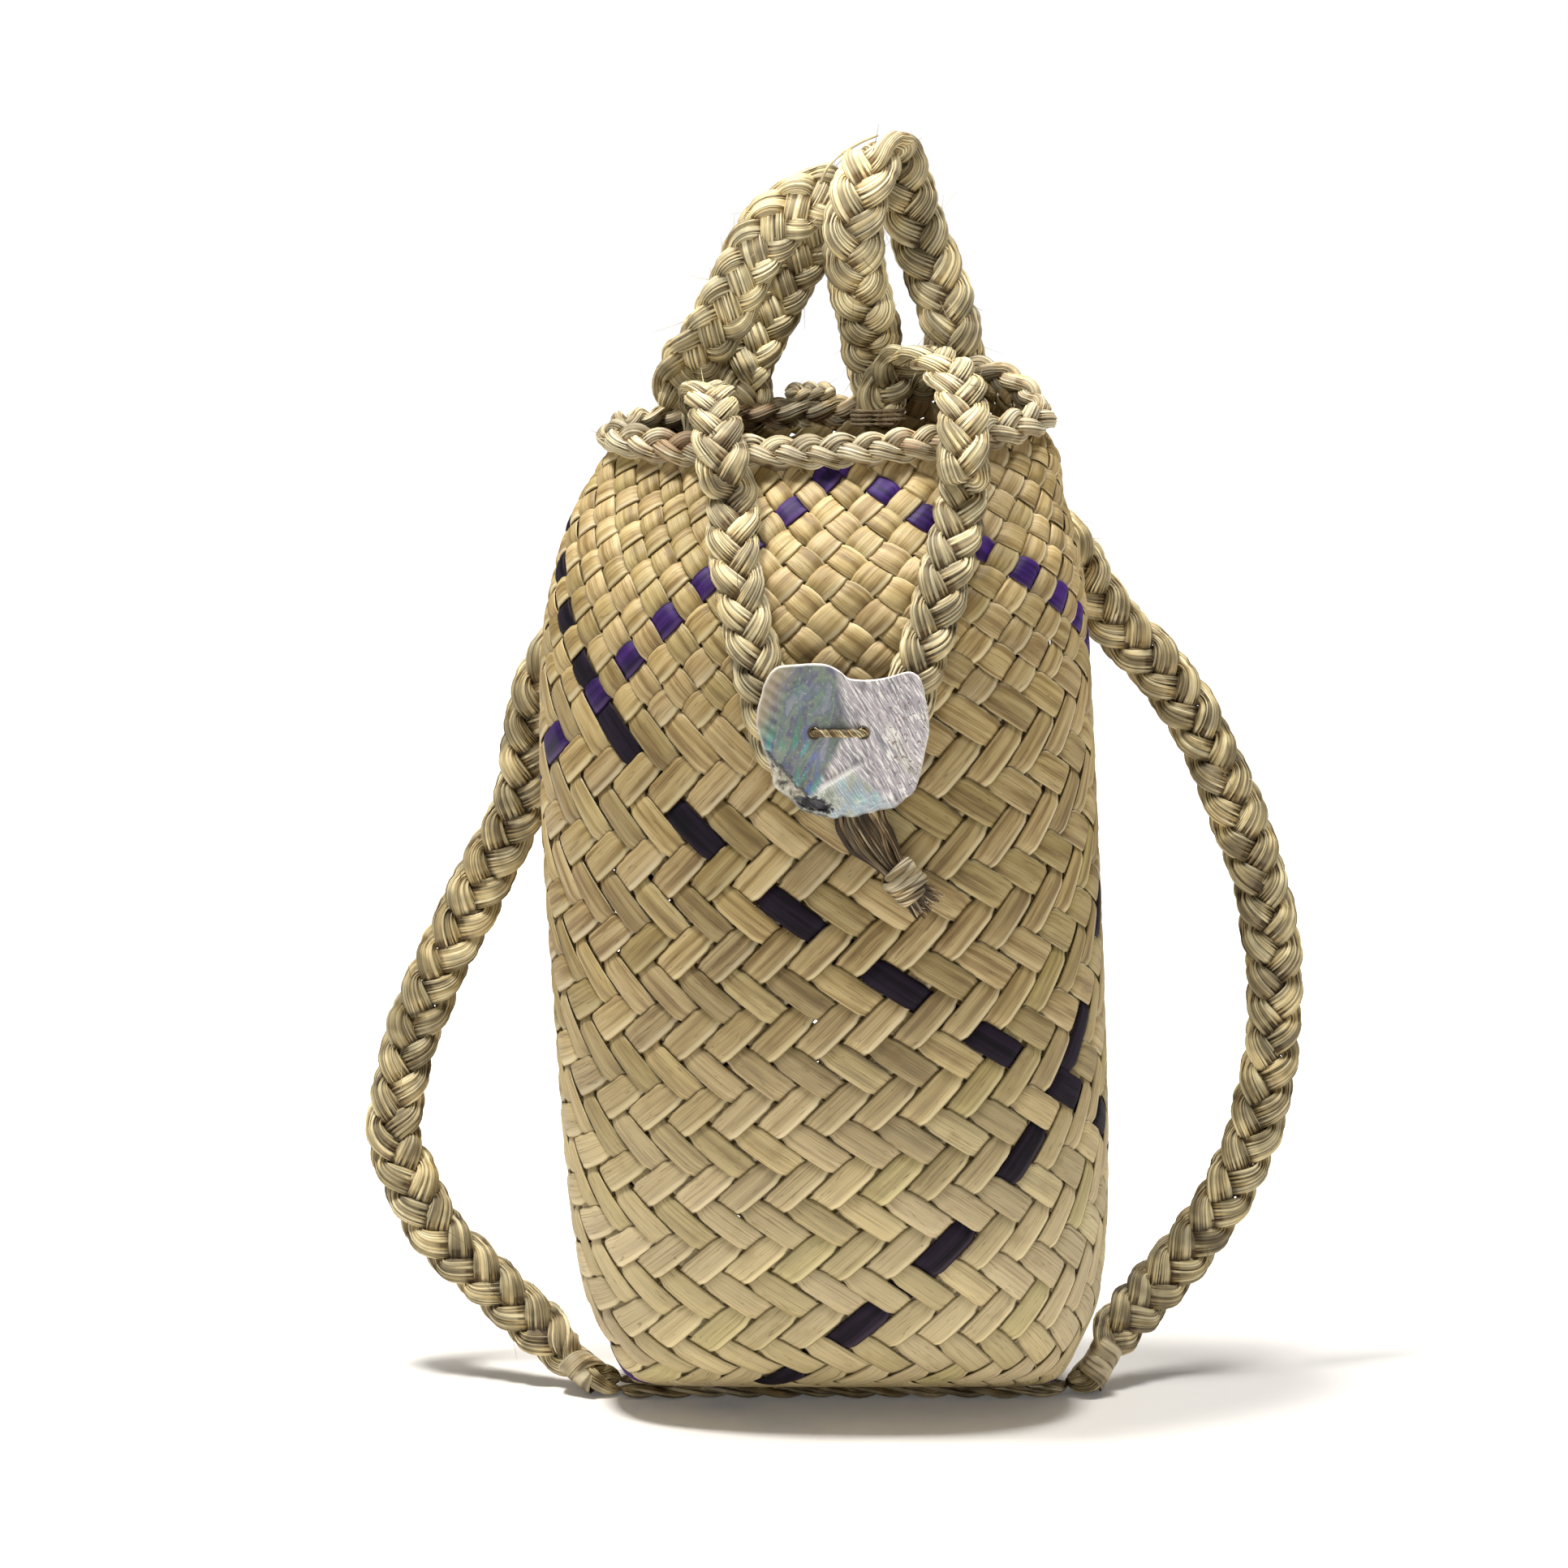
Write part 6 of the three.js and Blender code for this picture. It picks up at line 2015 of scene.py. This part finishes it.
    def make(self, palette: Palette) -> None:
        """Makes the shell, its stitch and its knot.

        Args:
            palette: the bag's finishes.
        """
        seat = self.seat
        shell = self.disc().build("shell_disc", palette.shell)
        self.drill(shell)
        settle(shell, "button", "shell", "shell_button")
        reach, spread = self.hole_spacing / 2, self.twine / 2 + 0.25
        wall = seat.form.body_y(seat.x, seat.z, 2.5 * seat.form.clearance)
        back, front = seat.stitch_y, seat.stitch_y - self.thickness - self.twine / 2 - 0.35
        half = [(spread, wall), (spread + 1.5, wall - 2.2), (reach - 1.1, back + 1.8), (reach, back),
                (reach + 0.1, back - self.thickness), (reach - 1.3, front), (reach / 3, front - 0.25)]
        corners = [np.array([seat.x - x, y, seat.z]) for x, y in half]
        corners += [np.array([seat.x + x, y, seat.z]) for x, y in half[::-1]]
        bag = MeshBag()
        self.cord(bag, Line(corners), self.twine / 2 + 0.2, pitch=6.4, seed=7)
        settle(bag.build("button_stitch_twine", palette.pale), "button", "twine", "button_twine")
        inside = seat.form.body_y(seat.x, seat.z) + seat.form.wall + seat.form.clearance + 0.15 + 2.8
        t = np.linspace(0, 2 * math.pi, 24, endpoint=False)
        knot = np.stack([np.sin(t) + 2 * np.sin(2 * t), -np.sin(3 * t) * 1.1, np.cos(t) - 2 * np.cos(2 * t)], axis=1)
        knot = knot * np.array([1.05, 1.0, 0.85]) + np.array([seat.x, inside, seat.z])
        bag = MeshBag()
        self.cord(bag, Line(knot, closed=True), 1.0, pitch=5.0, seed=8, closed=True)
        settle(bag.build("twine_knot_cord", palette.twine), "bag", "twine", "twine_knot")


# The picture


@dataclass(frozen=True)
class Studio:
    """The white ground, the light and the camera of the photograph."""

    camera_place: Point = (-0.0237, -2.1786, 0.5522)
    camera_aim: Point = (-0.0237, 0.0, 0.246)
    lens: float = 128.1
    key_energy: float = 46.0
    fill_strength: float = 0.15
    floor_glow: float = 0.08
    floor_light: float = 0.26

    def ground(self) -> None:
        """Makes the pale floor."""
        bpy.ops.object.select_all(action="DESELECT")
        bpy.ops.mesh.primitive_plane_add(size=14.0, location=(0, 0, 0))
        floor = bpy.context.object
        floor.name = "white_ground"
        sheet = NodeSheet("white_ground")
        x, y, _ = sheet.split(sheet.where())
        seen = sheet.node("LightPath").outputs["Is Camera Ray"]
        glow = sheet.times(sheet.eased(sheet.distance(x, y), 0.16, 0.55, self.floor_glow, 1.0),
                           sheet.eased(seen, 0.0, 1.0, self.floor_light, 1.0))
        floor.data.materials.append(sheet.finish(
            Base_Color=(0.93, 0.90, 0.86), Roughness=0.9, Specular_IOR_Level=0.1, Emission_Color=(1.0, 1.0, 1.0),
            Emission_Strength=glow))

    def lights(self) -> None:
        """Makes a white surround and a soft key light from the upper left."""
        world = bpy.data.worlds.new("white_surround")
        bpy.context.scene.world = world
        world.use_nodes = True
        tree = world.node_tree
        tree.nodes.clear()
        output = tree.nodes.new("ShaderNodeOutputWorld")
        seen, lit = tree.nodes.new("ShaderNodeBackground"), tree.nodes.new("ShaderNodeBackground")
        seen.inputs["Color"].default_value = (1, 1, 1, 1)
        seen.inputs["Strength"].default_value = 1.0
        lit.inputs["Color"].default_value = (1.0, 0.99, 0.97, 1)
        lit.inputs["Strength"].default_value = self.fill_strength
        path = tree.nodes.new("ShaderNodeLightPath")
        choose = tree.nodes.new("ShaderNodeMixShader")
        tree.links.new(path.outputs["Is Camera Ray"], choose.inputs[0])
        tree.links.new(lit.outputs[0], choose.inputs[1])
        tree.links.new(seen.outputs[0], choose.inputs[2])
        tree.links.new(choose.outputs[0], output.inputs["Surface"])
        middle = (0.0, 0.0, 0.2)
        self.lamp("AREA", (-0.55, -0.12, 2.1), middle, size=0.32, energy=self.key_energy, color=(1.0, 0.985, 0.96))
        self.lamp("AREA", (0.45, 0.08, 2.1), middle, size=0.5, energy=self.key_energy * 0.6, color=(1.0, 1.0, 1.0))
        self.lamp("SPOT", (-0.75, -1.2, 1.3), (-0.015, 0.0, 0.48), energy=74.0, spot_size=math.radians(6.6),
                  spot_blend=0.7, shadow_soft_size=0.06)

    @staticmethod
    def lamp(kind: str, place: Point, aim: Point, **settings: float | Point) -> None:
        """Makes a lamp.

        Args:
            kind: what it is.
            place: where it is, in metres.
            aim: where it looks.
            settings: its settings by name.
        """
        data = bpy.data.lights.new("lamp", kind)
        for key, setting in settings.items():
            setattr(data, key, setting)
        lamp = bpy.data.objects.new("lamp", data)
        lamp.location, lamp.rotation_euler = place, looking(place, aim)
        bpy.context.scene.collection.objects.link(lamp)

    def camera(self) -> None:
        """Places the camera where the photograph was taken from."""
        data = bpy.data.cameras.new("camera")
        data.lens, data.sensor_width = self.lens, 36.0
        camera = bpy.data.objects.new("camera", data)
        camera.location = self.camera_place
        camera.rotation_euler = looking(self.camera_place, self.camera_aim)
        bpy.context.scene.collection.objects.link(camera)
        bpy.context.scene.camera = camera
        bpy.context.scene.view_settings.view_transform = "Standard"


def looking(place: Point, aim: Point) -> tuple[float, float, float]:
    """Returns the turns that make something at a place look at an aim."""
    way = unit(np.array(aim) - np.array(place))
    return (math.acos(-way[2]), 0.0, math.atan2(way[1], way[0]) - math.pi / 2)


def main() -> None:
    """Makes the bag and its picture."""
    logging.basicConfig(level=logging.INFO, format="%(message)s")
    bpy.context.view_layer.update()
    form = BodyForm()
    line = RimLine(form)
    seat = ButtonSeat(form, line)
    palette = Palette((seat.x, seat.stitch_y, seat.z))
    studio, base = Studio(), Base()
    studio.camera()
    Weave(
        rising_dyes={0: Dye.PURPLE, 21: Dye.BLACK, 25: Dye.GREEN, 18: Dye.GREEN},
        falling_dyes={0: Dye.PURPLE, 20: Dye.BLACK, 17: Dye.GREEN, 24: Dye.GREEN},
    ).make(form, palette)
    Rim(line).make(palette)
    base.make(palette)
    Handles(form, line).make(palette)
    Straps(form, base).make(palette)
    Closure(seat).make(palette)
    ShellButton(seat).make(palette)
    studio.ground()
    studio.lights()


if __name__ == "__main__":
    main()
